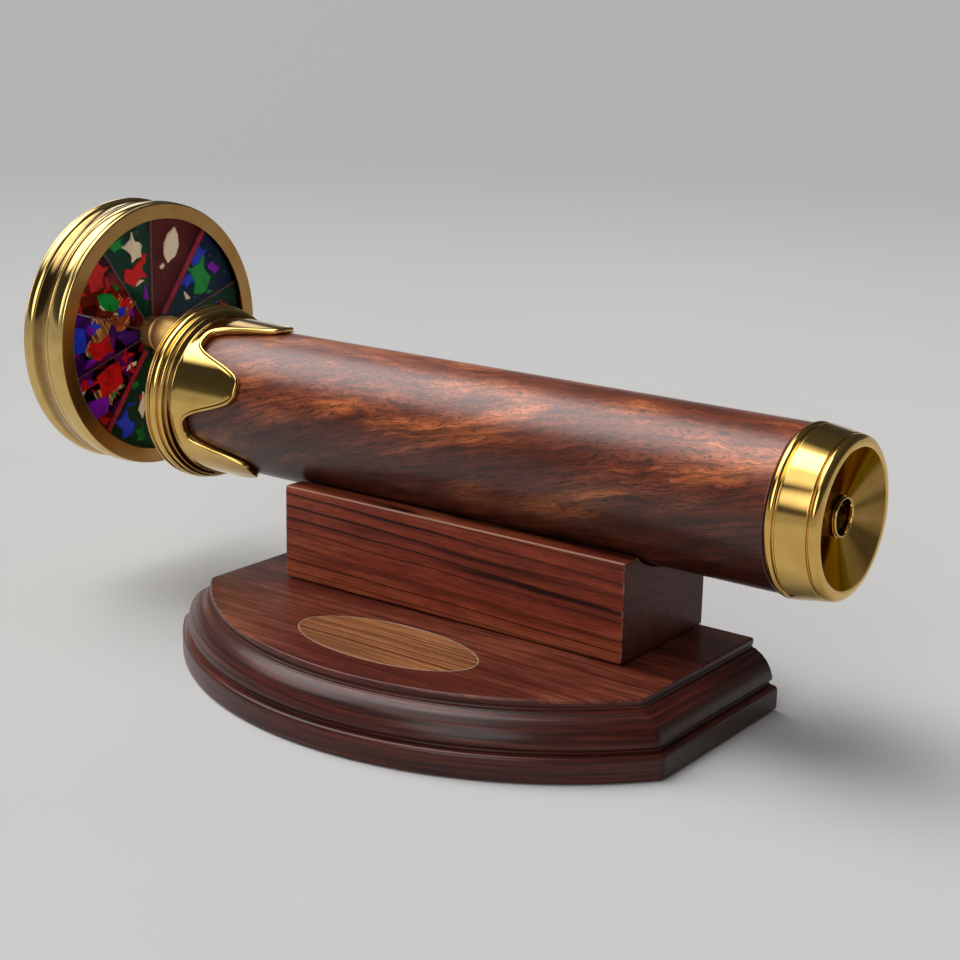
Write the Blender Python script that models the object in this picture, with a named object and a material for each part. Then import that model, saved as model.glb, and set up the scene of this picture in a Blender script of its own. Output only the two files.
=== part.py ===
"""A kaleidoscope with a turning object wheel, lying in the cradle of a wooden stand.

Metres, +Z up. The origin is on the underside of the stand, below the barrel's axis and midway
along the cradle block. +X runs along the barrel to the eyepiece, +Y to the base's flat back.
"""
import math

import bmesh
import bpy
from mathutils import Matrix, Vector

# Clearances and cutters
SEAT_GAP = 0.0003
RUNNING_GAP = 0.0001
OVERRUN = 0.0020

# Base
BASE_HEIGHT = 0.0154
BASE_TOP_LENGTH = 0.1210
BASE_OVERHANG = 0.0075
BOW_RADIUS = 0.0797
BOW_CENTRE_Y = 0.0230
BASE_CORNER_RADIUS = 0.0040
FELT_THICKNESS = 0.0012
FELT_INSET = 0.0020
FELT_RECESS = 0.0012

# Inlay in the base's top
INLAY_LENGTH = 0.0476
INLAY_DEPTH_ACROSS = 0.0225
INLAY_TO_BLOCK = 0.0088
INLAY_THICKNESS = 0.0009
STRINGING_WIDTH = 0.0004

# Cradle block
BLOCK_LENGTH = 0.0960
BLOCK_WIDTH = 0.0345
BLOCK_HEIGHT = 0.0227
BLOCK_EDGE_BEVEL = 0.0004
GROOVE_SINK = 0.0038

# Screws from below that hold the block
SCREW_SPACING = 0.0600
SCREW_HEAD_RADIUS = 0.0036
SCREW_HEAD_HEIGHT = 0.0022
SCREW_SHANK_RADIUS = 0.0018
SCREW_LENGTH = 0.0240
SCREW_TIP_LENGTH = 0.0030
SCREW_HEAD_SINK = 0.0004
SCREW_SLOT_WIDTH = 0.0009
SCREW_SLOT_DEPTH = 0.0008

# Barrel
BARREL_LENGTH = 0.1700
BARREL_SHIFT = -0.0010
BARREL_RADIUS = 0.0180
BARREL_WALL = 0.0034
TENON_DEPTH = 0.0012

# Crown collar
COLLAR_LENGTH = 0.0072
COLLAR_WALL = 0.0016
COLLAR_RIB_RISE = 0.0024
COLLAR_REACH = 0.0046
CROWN_TIP_WALL = 0.0010
CROWN_VALLEY_LENGTH = 0.0034
CROWN_LOBE_LENGTH = 0.0167
CROWN_LOBES = 5
CROWN_FULLNESS = 0.9
CROWN_FIRST_TIP = math.radians(159)

# End plate and object window
PLATE_OVERLAP = 0.0020
PLATE_THICKNESS = 0.0018
PLATE_RECESS = 0.0003
PLATE_APERTURE_RADIUS = 0.0085
WINDOW_RADIUS = 0.0092
WINDOW_THICKNESS = 0.0015
WINDOW_LIP_THICKNESS = 0.0010
WINDOW_LIP_RADIUS = 0.0083

# Mirrors and their cork holders
MIRROR_SHARE = 0.356
MIRROR_THICKNESS = 0.0020
MIRROR_HOLDER_FRONT_LENGTH = 0.0050
MIRROR_HOLDER_REAR_LENGTH = 0.0140
MIRROR_STOP = 0.0040

# Eye cap, its window and its eyelet
CAP_SLEEVE = 0.0038
CAP_LENGTH = 0.0111
CAP_RISE = 0.0005
CAP_TAPER = 0.0011
CAP_STEP_DROP = 0.0003
CAP_LIP_INSET = 0.0028
CAP_DISH_DEPTH = 0.0030
CAP_HOLE_RADIUS = 0.0040
EYE_WINDOW_THICKNESS = 0.0015
EYELET_RADIUS = 0.0044
EYELET_BORE_RADIUS = 0.0031
EYELET_RISE = 0.0009

# Wheel
AXLE_INSET = 0.0055
WHEEL_GAP = 0.0157
WHEEL_RADIUS = 0.0343
WHEEL_WIDTH = 0.0144
RIM_RIB_RISE = 0.0011
RIM_WALL = 0.0011
BEZEL_LIP_WIDTH = 0.0021
BEZEL_THICKNESS = 0.0006
BACK_BEZEL_WIDTH = 0.0065
GLASS_THICKNESS = 0.0010
CHAMBER_DEPTH = 0.0024
SECTOR_COUNT = 10
FIRST_DIVIDER = math.radians(54)
SECTOR_THICKNESS = 0.0015
SECTOR_JOINT = 0.0004
CHIP_THICKNESS = 0.0011
FRAME_RING_WIDTH = 0.0012
STRIP_WIDTH = 0.0006
STRIP_DEPTH = 0.0010
ROD_RADIUS = 0.0009

# Hub, axle and nut
AXLE_RADIUS = 0.0025
AXLE_SPIGOT_RADIUS = 0.0020
AXLE_FLANGE_RADIUS = 0.0042
AXLE_FLANGE_THICKNESS = 0.0015
AXLE_THREAD_RADIUS = 0.0015
AXLE_THREAD_LENGTH = 0.0026
HUB_NECK_RADIUS = 0.0036
HUB_BOSS_RADIUS = 0.0056
HUB_BOSS_LENGTH = 0.0046
HUB_TUBE_RADIUS = 0.0040
HUB_FLANGE_RADIUS = 0.0068
HUB_FLANGE_THICKNESS = 0.0025
WASHER_RADIUS = 0.0046
WASHER_THICKNESS = 0.0008
NUT_RADIUS = 0.0035
NUT_LENGTH = 0.0034

# Round pieces: how many steps a full turn has
LARGE_STEPS = 48
SMALL_STEPS = 24
CROWN_STEPS = 70
CORNER_STEPS = 4
BOW_STEPS = 20
GROOVE_STEPS = 12
SHARP_ANGLE = math.radians(32)

# Shares of the overhang and of the height, from the top edge to the underside
MOULDING_SHARES = (
    (0.00, 0.000), (0.07, 0.033), (0.11, 0.091), (0.11, 0.150), (0.22, 0.166), (0.43, 0.222),
    (0.61, 0.312), (0.74, 0.416), (0.81, 0.520), (0.81, 0.578), (0.74, 0.597), (0.74, 0.636),
    (0.94, 0.655), (1.00, 0.695), (1.00, 0.975), (0.95, 1.000),
)

# Shares of the collar's length and of its rib rise, from the open end to the crown
COLLAR_SHARES = (
    (0.00, 0.75), (0.06, 0.92), (0.12, 0.92), (0.16, 0.68), (0.24, 0.90), (0.37, 1.00),
    (0.50, 0.90), (0.57, 0.50), (0.64, 0.76), (0.74, 0.76), (0.80, 0.35), (0.90, 0.50),
    (1.00, 0.00),
)

# Shares of the cap's length, and radii between the bead, the band and the lip
CAP_SHOULDER_SHARES = ((0.00, 1.00), (0.35, 0.88), (0.72, 0.60), (0.95, 0.22), (1.00, 0.00))
CAP_BEAD_SHARE = 0.15
CAP_GROOVE_SHARE = 0.19
CAP_GROOVE_RISE_SHARE = 0.20
CAP_BAND_START_SHARE = 0.235
CAP_BAND_END_SHARE = 0.855
CAP_STEP_SHARE = 0.885

# Shares of the rim's width and of its rib rise, from the face to the back
RIM_SHARES = (
    (0.00, 0.45), (0.03, 0.78), (0.10, 0.96), (0.18, 1.00), (0.26, 0.96), (0.32, 0.72),
    (0.36, 0.12), (0.39, 0.12), (0.41, 0.50), (0.45, 0.50), (0.47, 0.12), (0.64, 0.00),
    (0.81, 0.15), (0.84, 0.70), (0.91, 0.90), (0.97, 0.75), (1.00, 0.45),
)

# Shares of the boss's length and radius, from the glass to the neck
BOSS_SHARES = ((0.00, 0.93), (0.10, 1.00), (0.36, 1.00), (0.60, 0.90), (0.82, 0.74), (1.00, 0.64))

# Shares of the nut's length and radius, from its flat face to the top of its dome
NUT_SHARES = ((0.00, 1.00), (0.50, 1.00), (0.875, 0.50), (1.00, 0.00))

# Outlines of the chips, in shares of their length
SHARD_SHARES = ((-0.50, -0.20), (-0.10, -0.42), (0.45, -0.30), (0.50, 0.12), (0.05, 0.40), (-0.38, 0.26))
PETAL_SHARES = (
    (-0.50, 0.00), (-0.30, -0.20), (0.00, -0.28), (0.30, -0.18), (0.50, 0.00), (0.30, 0.18),
    (0.00, 0.28), (-0.30, 0.20),
)
SLIVER_SHARES = ((-0.50, -0.08), (0.35, -0.16), (0.50, 0.02), (-0.20, 0.14))

# Chips: colour, sector, share of the radius, share of the sector's angle, length share, turn, outline
CHIP_LENGTH = 0.0100
CHIP_SHARES = (
    ("cream", 0, 0.78, 0.50, 0.95, 75, PETAL_SHARES),
    ("cream", 1, 0.78, 0.42, 0.70, 130, SHARD_SHARES),
    ("red", 1, 0.56, 0.55, 0.75, 20, SHARD_SHARES),
    ("red", 2, 0.84, 0.34, 0.85, 60, SHARD_SHARES),
    ("green", 2, 0.60, 0.58, 0.80, 150, PETAL_SHARES),
    ("blue", 3, 0.86, 0.42, 0.75, 100, SHARD_SHARES),
    ("red", 3, 0.58, 0.62, 0.75, 15, SHARD_SHARES),
    ("violet", 4, 0.86, 0.62, 0.70, 20, SHARD_SHARES),
    ("red", 4, 0.58, 0.42, 0.95, 35, SLIVER_SHARES),
    ("blue", 5, 0.84, 0.32, 0.70, 120, SHARD_SHARES),
    ("cream", 5, 0.64, 0.62, 0.70, 80, SLIVER_SHARES),
    ("green", 6, 0.76, 0.50, 0.85, 70, SHARD_SHARES),
    ("red", 7, 0.72, 0.50, 0.90, 100, PETAL_SHARES),
    ("blue", 8, 0.76, 0.44, 0.95, 30, PETAL_SHARES),
    ("green", 9, 0.72, 0.52, 0.95, 110, SHARD_SHARES),
)

# Heights and places that follow from the sizes
FELT_CEILING = FELT_THICKNESS + SEAT_GAP
BASE_LOW = FELT_CEILING - FELT_RECESS
BASE_TOP = BASE_LOW + BASE_HEIGHT
BLOCK_LOW = BASE_TOP + SEAT_GAP
BLOCK_TOP = BLOCK_LOW + BLOCK_HEIGHT
AXIS_Z = BLOCK_TOP + BARREL_RADIUS - GROOVE_SINK
WHEEL_RAISE = BARREL_RADIUS - AXLE_INSET
WHEEL_Z = AXIS_Z + WHEEL_RAISE
BACK_Y = BLOCK_WIDTH / 2
INLAY_Y = -BLOCK_WIDTH / 2 - INLAY_TO_BLOCK - INLAY_DEPTH_ACROSS / 2
INLAY_RECESS = INLAY_THICKNESS + SEAT_GAP

BARREL_LEFT = BARREL_SHIFT - BARREL_LENGTH / 2
BARREL_RIGHT = BARREL_SHIFT + BARREL_LENGTH / 2
BORE_RADIUS = BARREL_RADIUS - BARREL_WALL
SLEEVE_RADIUS = BARREL_RADIUS + SEAT_GAP
TENON_RADIUS = BARREL_RADIUS - TENON_DEPTH
COLLAR_BODY_RADIUS = SLEEVE_RADIUS + COLLAR_WALL
CROWN_TIP_RADIUS = SLEEVE_RADIUS + CROWN_TIP_WALL
COLLAR_LEFT = BARREL_LEFT - COLLAR_REACH
CROWN_START = COLLAR_LEFT + COLLAR_LENGTH
PLATE_RADIUS = BARREL_RADIUS + PLATE_OVERLAP
PLATE_LEFT = COLLAR_LEFT + PLATE_RECESS
PLATE_RIGHT = PLATE_LEFT + PLATE_THICKNESS
WINDOW_LEFT = PLATE_RIGHT + SEAT_GAP
WINDOW_RIGHT = WINDOW_LEFT + WINDOW_THICKNESS
RING_RIGHT = WINDOW_RIGHT + SEAT_GAP + WINDOW_LIP_THICKNESS
HOLDER_LEFT = RING_RIGHT + SEAT_GAP
BORE_PIECE_RADIUS = BORE_RADIUS - SEAT_GAP
MIRROR_INRADIUS = BORE_RADIUS * MIRROR_SHARE

CAP_LEFT = BARREL_RIGHT - CAP_SLEEVE
CAP_RIGHT = CAP_LEFT + CAP_LENGTH
CAP_WALL = BARREL_RIGHT + EYE_WINDOW_THICKNESS + 2 * SEAT_GAP
CAP_DISH = CAP_RIGHT - CAP_DISH_DEPTH
CAP_LIP_RADIUS = BARREL_RADIUS - CAP_LIP_INSET

WHEEL_FACE = COLLAR_LEFT - WHEEL_GAP
WHEEL_BACK = WHEEL_FACE - WHEEL_WIDTH
CAVITY_RADIUS = WHEEL_RADIUS - RIM_RIB_RISE - RIM_WALL
BEZEL_OPENING_RADIUS = CAVITY_RADIUS - BEZEL_LIP_WIDTH
GLASS_RADIUS = CAVITY_RADIUS - SEAT_GAP
FRONT_GLASS_RIGHT = WHEEL_FACE - BEZEL_THICKNESS - SEAT_GAP
CHAMBER_RIGHT = FRONT_GLASS_RIGHT - GLASS_THICKNESS
SECTOR_RIGHT = CHAMBER_RIGHT - CHAMBER_DEPTH
SECTOR_LEFT = SECTOR_RIGHT - SECTOR_THICKNESS
REAR_GLASS_RIGHT = SECTOR_LEFT - SEAT_GAP
REAR_GLASS_LEFT = REAR_GLASS_RIGHT - GLASS_THICKNESS
BACK_BEZEL_RIGHT = REAR_GLASS_LEFT - SEAT_GAP
HUB_BORE_RADIUS = AXLE_RADIUS + RUNNING_GAP
GLASS_HOLE_RADIUS = HUB_TUBE_RADIUS + SEAT_GAP
SECTOR_ANGLE = 2 * math.pi / SECTOR_COUNT
AXLE_FLANGE_RIGHT = PLATE_LEFT - SEAT_GAP
AXLE_FLANGE_LEFT = AXLE_FLANGE_RIGHT - AXLE_FLANGE_THICKNESS
HUB_RIGHT = AXLE_FLANGE_LEFT - SEAT_GAP
BOSS_LEFT = FRONT_GLASS_RIGHT + SEAT_GAP
HUB_FLANGE_RIGHT = REAR_GLASS_LEFT - SEAT_GAP
HUB_FLANGE_LEFT = HUB_FLANGE_RIGHT - HUB_FLANGE_THICKNESS
WASHER_RIGHT = HUB_FLANGE_LEFT - SEAT_GAP
WASHER_LEFT = WASHER_RIGHT - WASHER_THICKNESS
NUT_RIGHT = WASHER_LEFT - SEAT_GAP


def clear_scene():
    for old in list(bpy.data.objects):
        bpy.data.objects.remove(old, do_unlink=True)


def look(name, colour, roughness, metallic=0.0, transmission=0.0):
    """A Principled material."""
    material = bpy.data.materials.new(name)
    material.use_nodes = True
    shader = material.node_tree.nodes["Principled BSDF"]
    shader.inputs["Base Color"].default_value = (*colour, 1.0)
    shader.inputs["Roughness"].default_value = roughness
    shader.inputs["Metallic"].default_value = metallic
    shader.inputs["Transmission Weight"].default_value = transmission
    return material


def make_object(name, shape, material, parent=None):
    """Turns a bmesh of closed bodies into a linked object."""
    bmesh.ops.recalc_face_normals(shape, faces=shape.faces)
    mesh = bpy.data.meshes.new(name)
    shape.to_mesh(mesh)
    shape.free()
    mesh.shade_smooth()
    mesh.set_sharp_from_angle(angle=SHARP_ANGLE)
    mesh.materials.append(material)
    piece = bpy.data.objects.new(name, mesh)
    bpy.context.scene.collection.objects.link(piece)
    piece.parent = parent
    return piece


def make_empty(name, place):
    empty = bpy.data.objects.new(name, None)
    empty.location = place
    bpy.context.scene.collection.objects.link(empty)
    return empty


def cut(piece, name, shape, material):
    """Takes a cutter's shape out of a piece with a Boolean modifier."""
    cutter = make_object(name, shape, material, piece.parent)
    cutter.hide_render = True
    cutter.display_type = "WIRE"
    change = piece.modifiers.new(name, "BOOLEAN")
    change.operation = "DIFFERENCE"
    change.object = cutter


def add_turned(shape, profile, steps, place=Matrix()):
    """Adds a solid turned about the X axis from a closed profile of (x, radius)."""
    angles = [2 * math.pi * step / steps for step in range(steps)]
    rings = []
    for x, radius in profile:
        if radius == 0:
            rings.append([shape.verts.new(place @ Vector((x, 0, 0)))])
        else:
            points = [Vector((x, radius * math.cos(a), radius * math.sin(a))) for a in angles]
            rings.append([shape.verts.new(place @ point) for point in points])
    for near, far in zip(rings, rings[1:] + rings[:1]):
        if len(near) == len(far) == 1:
            continue
        for step in range(steps):
            after = (step + 1) % steps
            corners = (near[step % len(near)], near[after % len(near)],
                       far[after % len(far)], far[step % len(far)])
            shape.faces.new(dict.fromkeys(corners))


def turned(name, profile, material, parent, steps=SMALL_STEPS):
    shape = bmesh.new()
    add_turned(shape, profile, steps)
    return make_object(name, shape, material, parent)


def add_layers(shape, layers):
    """Adds a solid through rings of points, all with the same count, and closes both ends."""
    rings = [[shape.verts.new(point) for point in layer] for layer in layers]
    for near, far in zip(rings, rings[1:]):
        for step in range(len(near)):
            after = (step + 1) % len(near)
            shape.faces.new((near[step], near[after], far[after], far[step]))
    shape.faces.new(rings[0])
    shape.faces.new(rings[-1])


def add_plate(shape, outline, left, right):
    """Adds a flat plate across X, from an outline of (y, z)."""
    add_layers(shape, [[(x, y, z) for y, z in outline] for x in (left, right)])


def add_slab(shape, outline, low, high):
    """Adds a flat slab across Z, from an outline of (x, y)."""
    add_layers(shape, [[(x, y, z) for x, y in outline] for z in (low, high)])


def add_tube(shape, loops):
    """Adds a solid through closed rings that run round it, the last joined to the first."""
    rings = [[shape.verts.new(point) for point in loop] for loop in loops]
    for near, far in zip(rings, rings[1:] + rings[:1]):
        for step in range(len(near)):
            after = (step + 1) % len(near)
            shape.faces.new((near[step], near[after], far[after], far[step]))


def arc(centre_x, centre_y, radius, start, end, steps):
    """Points along an arc, both ends included."""
    angles = [start + (end - start) * step / steps for step in range(steps + 1)]
    return [(centre_x + radius * math.cos(a), centre_y + radius * math.sin(a)) for a in angles]


def oval(length, depth, steps=LARGE_STEPS):
    angles = [2 * math.pi * step / steps for step in range(steps)]
    return [(length / 2 * math.cos(a), INLAY_Y + depth / 2 * math.sin(a)) for a in angles]


def base_outline(out):
    """The D-shaped outline at a distance out from the base's top edge; the back stays flat."""
    half = BASE_TOP_LENGTH / 2
    corner_x = half - BASE_CORNER_RADIUS
    reach = BOW_RADIUS - BASE_CORNER_RADIUS
    corner_y = BOW_CENTRE_Y - math.sqrt(reach ** 2 - corner_x ** 2)
    meet = math.atan2(corner_y - BOW_CENTRE_Y, corner_x)
    corner = BASE_CORNER_RADIUS + out
    left = arc(-corner_x, corner_y, corner, -math.pi, -math.pi - meet, CORNER_STEPS)
    bow = arc(0, BOW_CENTRE_Y, BOW_RADIUS + out, -math.pi - meet, meet, BOW_STEPS)
    right = arc(corner_x, corner_y, corner, meet, 0, CORNER_STEPS)
    return [(-half - out, BACK_Y)] + left + bow[1:-1] + right + [(half + out, BACK_Y)]


def felt_outline(clearance):
    """The felt's outline, widened by a clearance for its recess."""
    inset = FELT_INSET - clearance
    return [(x, min(y, BACK_Y - inset)) for x, y in base_outline(BASE_OVERHANG - inset)]


def screw_places():
    return (-SCREW_SPACING / 2, SCREW_SPACING / 2)


def screw_profile(clearance):
    """A countersunk wood screw along +X from its head; clearance widens it into its hole."""
    shank = SCREW_SHANK_RADIUS + clearance
    length = SCREW_LENGTH + clearance
    return [(0, 0), (0, SCREW_HEAD_RADIUS + clearance), (SCREW_HEAD_HEIGHT, shank),
            (length - SCREW_TIP_LENGTH, shank), (length, 0)]


def screw_hole_profile():
    """The screw's hole, with a straight recess below the head."""
    profile = screw_profile(SEAT_GAP)
    mouth = -SCREW_HEAD_SINK - OVERRUN
    return [(mouth, 0), (mouth, SCREW_HEAD_RADIUS + SEAT_GAP)] + profile[1:]


def upright(x):
    """Stands a shape that was turned about X on its end, at a screw's place."""
    lift = FELT_CEILING + SCREW_HEAD_SINK
    return Matrix.Translation((x, 0, lift)) @ Matrix.Rotation(-math.pi / 2, 4, "Y")


def make_base(material):
    layers = []
    for out_share, down_share in MOULDING_SHARES:
        z = BASE_TOP - BASE_HEIGHT * down_share
        layers.append([(x, y, z) for x, y in base_outline(BASE_OVERHANG * out_share)])
    shape = bmesh.new()
    add_layers(shape, layers)
    base = make_object("base", shape, material)
    recess = bmesh.new()
    clear = 2 * SEAT_GAP
    outline = oval(INLAY_LENGTH + clear, INLAY_DEPTH_ACROSS + clear)
    add_slab(recess, outline, BASE_TOP - INLAY_RECESS, BASE_TOP + OVERRUN)
    cut(base, "inlay recess", recess, material)
    seat = bmesh.new()
    add_slab(seat, felt_outline(SEAT_GAP), BASE_LOW - OVERRUN, FELT_CEILING)
    cut(base, "felt recess", seat, material)
    holes = bmesh.new()
    for x in screw_places():
        add_turned(holes, screw_hole_profile(), SMALL_STEPS, upright(x))
    cut(base, "base screw holes", holes, material)


def make_felt(material):
    shape = bmesh.new()
    add_slab(shape, felt_outline(0), 0, FELT_THICKNESS)
    make_object("base_felt", shape, material)


def make_inlay(panel_material, line_material):
    low = BASE_TOP - INLAY_THICKNESS
    rings = []
    for inset, z in ((0, low), (0, BASE_TOP), (STRINGING_WIDTH, BASE_TOP), (STRINGING_WIDTH, low)):
        outline = oval(INLAY_LENGTH - 2 * inset, INLAY_DEPTH_ACROSS - 2 * inset)
        rings.append([(x, y, z) for x, y in outline])
    line = bmesh.new()
    add_tube(line, rings)
    make_object("inlay_stringing", line, line_material)
    panel = bmesh.new()
    inset = 2 * (STRINGING_WIDTH + SEAT_GAP)
    add_slab(panel, oval(INLAY_LENGTH - inset, INLAY_DEPTH_ACROSS - inset), low, BASE_TOP)
    make_object("inlay_panel", panel, panel_material)


def make_cradle_block(material):
    """A block with a round groove for the barrel along its top."""
    half = BLOCK_WIDTH / 2
    rise = AXIS_Z - BLOCK_TOP
    spread = math.acos(rise / SLEEVE_RADIUS)
    groove = arc(0, AXIS_Z, SLEEVE_RADIUS, -math.pi / 2 + spread, -math.pi / 2 - spread, GROOVE_STEPS)
    outline = [(-half, BLOCK_LOW), (half, BLOCK_LOW), (half, BLOCK_TOP)] + groove
    outline.append((-half, BLOCK_TOP))
    shape = bmesh.new()
    add_plate(shape, outline, -BLOCK_LENGTH / 2, BLOCK_LENGTH / 2)
    block = make_object("cradle_block", shape, material)
    bevel = block.modifiers.new("edges", "BEVEL")
    bevel.width = BLOCK_EDGE_BEVEL
    bevel.segments = 1
    bevel.limit_method = "ANGLE"
    bevel.angle_limit = SHARP_ANGLE
    holes = bmesh.new()
    for x in screw_places():
        add_turned(holes, screw_hole_profile(), SMALL_STEPS, upright(x))
    cut(block, "block screw holes", holes, material)


def make_cradle_screws(material):
    """Two countersunk screws, each with its slot."""
    half = SCREW_SLOT_WIDTH / 2
    reach = SCREW_HEAD_RADIUS + OVERRUN
    head = FELT_CEILING + SCREW_HEAD_SINK
    for name, x in zip(("cradle_screw_left", "cradle_screw_right"), screw_places()):
        shape = bmesh.new()
        add_turned(shape, screw_profile(0), SMALL_STEPS // 2, upright(x))
        screw = make_object(name, shape, material)
        slot = bmesh.new()
        outline = [(x - reach, -half), (x + reach, -half), (x + reach, half), (x - reach, half)]
        add_slab(slot, outline, head - OVERRUN, head + SCREW_SLOT_DEPTH)
        cut(screw, name + " slot", slot, material)


def make_barrel(material, parent):
    """The wooden tube, with a tenon at its right end for the cap."""
    shoulder = CAP_LEFT - SEAT_GAP
    profile = [(BARREL_LEFT, BARREL_RADIUS), (shoulder, BARREL_RADIUS), (shoulder, TENON_RADIUS),
               (BARREL_RIGHT, TENON_RADIUS), (BARREL_RIGHT, BORE_RADIUS), (BARREL_LEFT, BORE_RADIUS)]
    turned("barrel", profile, material, parent, LARGE_STEPS)


def crown_edge(angle):
    """Where the crown ends along X: round lobes with narrower valleys between them."""
    wave = (1 + math.cos(CROWN_LOBES * (angle - CROWN_FIRST_TIP))) / 2
    swell = wave ** CROWN_FULLNESS
    lobe_share = swell * swell * (3 - 2 * swell)
    return CROWN_START + CROWN_VALLEY_LENGTH + CROWN_LOBE_LENGTH * lobe_share


def make_crown_collar(material, parent):
    """A ribbed collar whose free edge runs out in lobes over the barrel."""
    shoulder = PLATE_RIGHT + SEAT_GAP
    seat = PLATE_RADIUS + SEAT_GAP
    crown_length = CROWN_VALLEY_LENGTH + CROWN_LOBE_LENGTH
    angles = [2 * math.pi * step / CROWN_STEPS for step in range(CROWN_STEPS)]

    def ring(x, radius):
        return [(x, radius * math.cos(a), radius * math.sin(a)) for a in angles]

    def edge_point(angle, radius):
        x = crown_edge(angle)
        if radius is None:
            run_share = (x - CROWN_START) / crown_length
            radius = COLLAR_BODY_RADIUS + (CROWN_TIP_RADIUS - COLLAR_BODY_RADIUS) * run_share
        return (x, radius * math.cos(angle), radius * math.sin(angle))

    loops = [ring(COLLAR_LEFT + COLLAR_LENGTH * along_share,
                  COLLAR_BODY_RADIUS + COLLAR_RIB_RISE * rise_share)
             for along_share, rise_share in COLLAR_SHARES]
    loops.append([edge_point(a, None) for a in angles])
    loops.append([edge_point(a, SLEEVE_RADIUS) for a in angles])
    loops.append(ring(BARREL_LEFT - SEAT_GAP, SLEEVE_RADIUS))
    loops.append(ring(BARREL_LEFT - SEAT_GAP, BORE_RADIUS))
    loops.append(ring(shoulder, BORE_RADIUS))
    loops.append(ring(shoulder, seat))
    loops.append(ring(COLLAR_LEFT, seat))
    shape = bmesh.new()
    add_tube(shape, loops)
    make_object("crown_collar", shape, material, parent)


def make_object_end(brass, glass, parent):
    """The end plate, the window behind its aperture and the ring that holds the window."""
    plate = turned("end_plate", [(PLATE_LEFT, PLATE_RADIUS), (PLATE_RIGHT, PLATE_RADIUS),
                                 (PLATE_RIGHT, PLATE_APERTURE_RADIUS),
                                 (PLATE_LEFT, PLATE_APERTURE_RADIUS)],
                   brass, parent, LARGE_STEPS)
    hole = bmesh.new()
    radius = AXLE_SPIGOT_RADIUS + SEAT_GAP
    add_turned(hole, [(PLATE_LEFT - OVERRUN, 0), (PLATE_LEFT - OVERRUN, radius),
                      (PLATE_RIGHT + OVERRUN, radius), (PLATE_RIGHT + OVERRUN, 0)],
               SMALL_STEPS, Matrix.Translation((0, 0, WHEEL_RAISE)))
    cut(plate, "axle hole", hole, brass)
    turned("object_window", [(WINDOW_LEFT, 0), (WINDOW_LEFT, WINDOW_RADIUS),
                             (WINDOW_RIGHT, WINDOW_RADIUS), (WINDOW_RIGHT, 0)], glass, parent)
    inner = WINDOW_RADIUS + SEAT_GAP
    lip = WINDOW_RIGHT + SEAT_GAP
    turned("window_ring", [(WINDOW_LEFT, inner), (WINDOW_LEFT, BORE_PIECE_RADIUS),
                           (RING_RIGHT, BORE_PIECE_RADIUS), (RING_RIGHT, WINDOW_LIP_RADIUS),
                           (lip, WINDOW_LIP_RADIUS), (lip, inner)], brass, parent)


def mirror_outline(clearance):
    """One mirror's section above the axis, as (y, z), widened by a clearance."""
    half = MIRROR_INRADIUS * math.sqrt(3) - SEAT_GAP + clearance
    outer = MIRROR_INRADIUS + MIRROR_THICKNESS + clearance
    return half, outer


def make_mirrors(mirror, cork, parent):
    """Three mirror strips in a triangle, and the cork rings that centre them in the bore."""
    left = HOLDER_LEFT + SEAT_GAP
    rear_left = BARREL_RIGHT - SEAT_GAP - MIRROR_HOLDER_REAR_LENGTH
    right = BARREL_RIGHT - MIRROR_STOP
    half, outer = mirror_outline(0)
    outline = [(-half, MIRROR_INRADIUS), (half, MIRROR_INRADIUS), (half, outer), (-half, outer)]
    for index, name in enumerate(("mirror_upper", "mirror_left", "mirror_right")):
        shape = bmesh.new()
        add_plate(shape, outline, left, right)
        turn = Matrix.Rotation(index * 2 * math.pi / 3, 4, "X")
        bmesh.ops.transform(shape, matrix=turn, verts=shape.verts)
        make_object(name, shape, mirror, parent)
    half, outer = mirror_outline(SEAT_GAP)
    corners = []
    for index in range(3):
        turn = Matrix.Rotation(index * 2 * math.pi / 3, 3, "X")
        for y in (half, -half):
            corner = turn @ Vector((0, y, outer))
            corners.append((corner.y, corner.z))
    spans = {"mirror_holder_front": (HOLDER_LEFT, HOLDER_LEFT + MIRROR_HOLDER_FRONT_LENGTH),
             "mirror_holder_rear": (rear_left, BARREL_RIGHT - SEAT_GAP)}
    for name, (low, high) in spans.items():
        profile = [(low, 0), (low, BORE_PIECE_RADIUS), (high, BORE_PIECE_RADIUS), (high, 0)]
        holder = turned(name, profile, cork, parent)
        opening = bmesh.new()
        add_plate(opening, corners, low - OVERRUN, high + OVERRUN)
        cut(holder, name + " opening", opening, cork)


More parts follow.
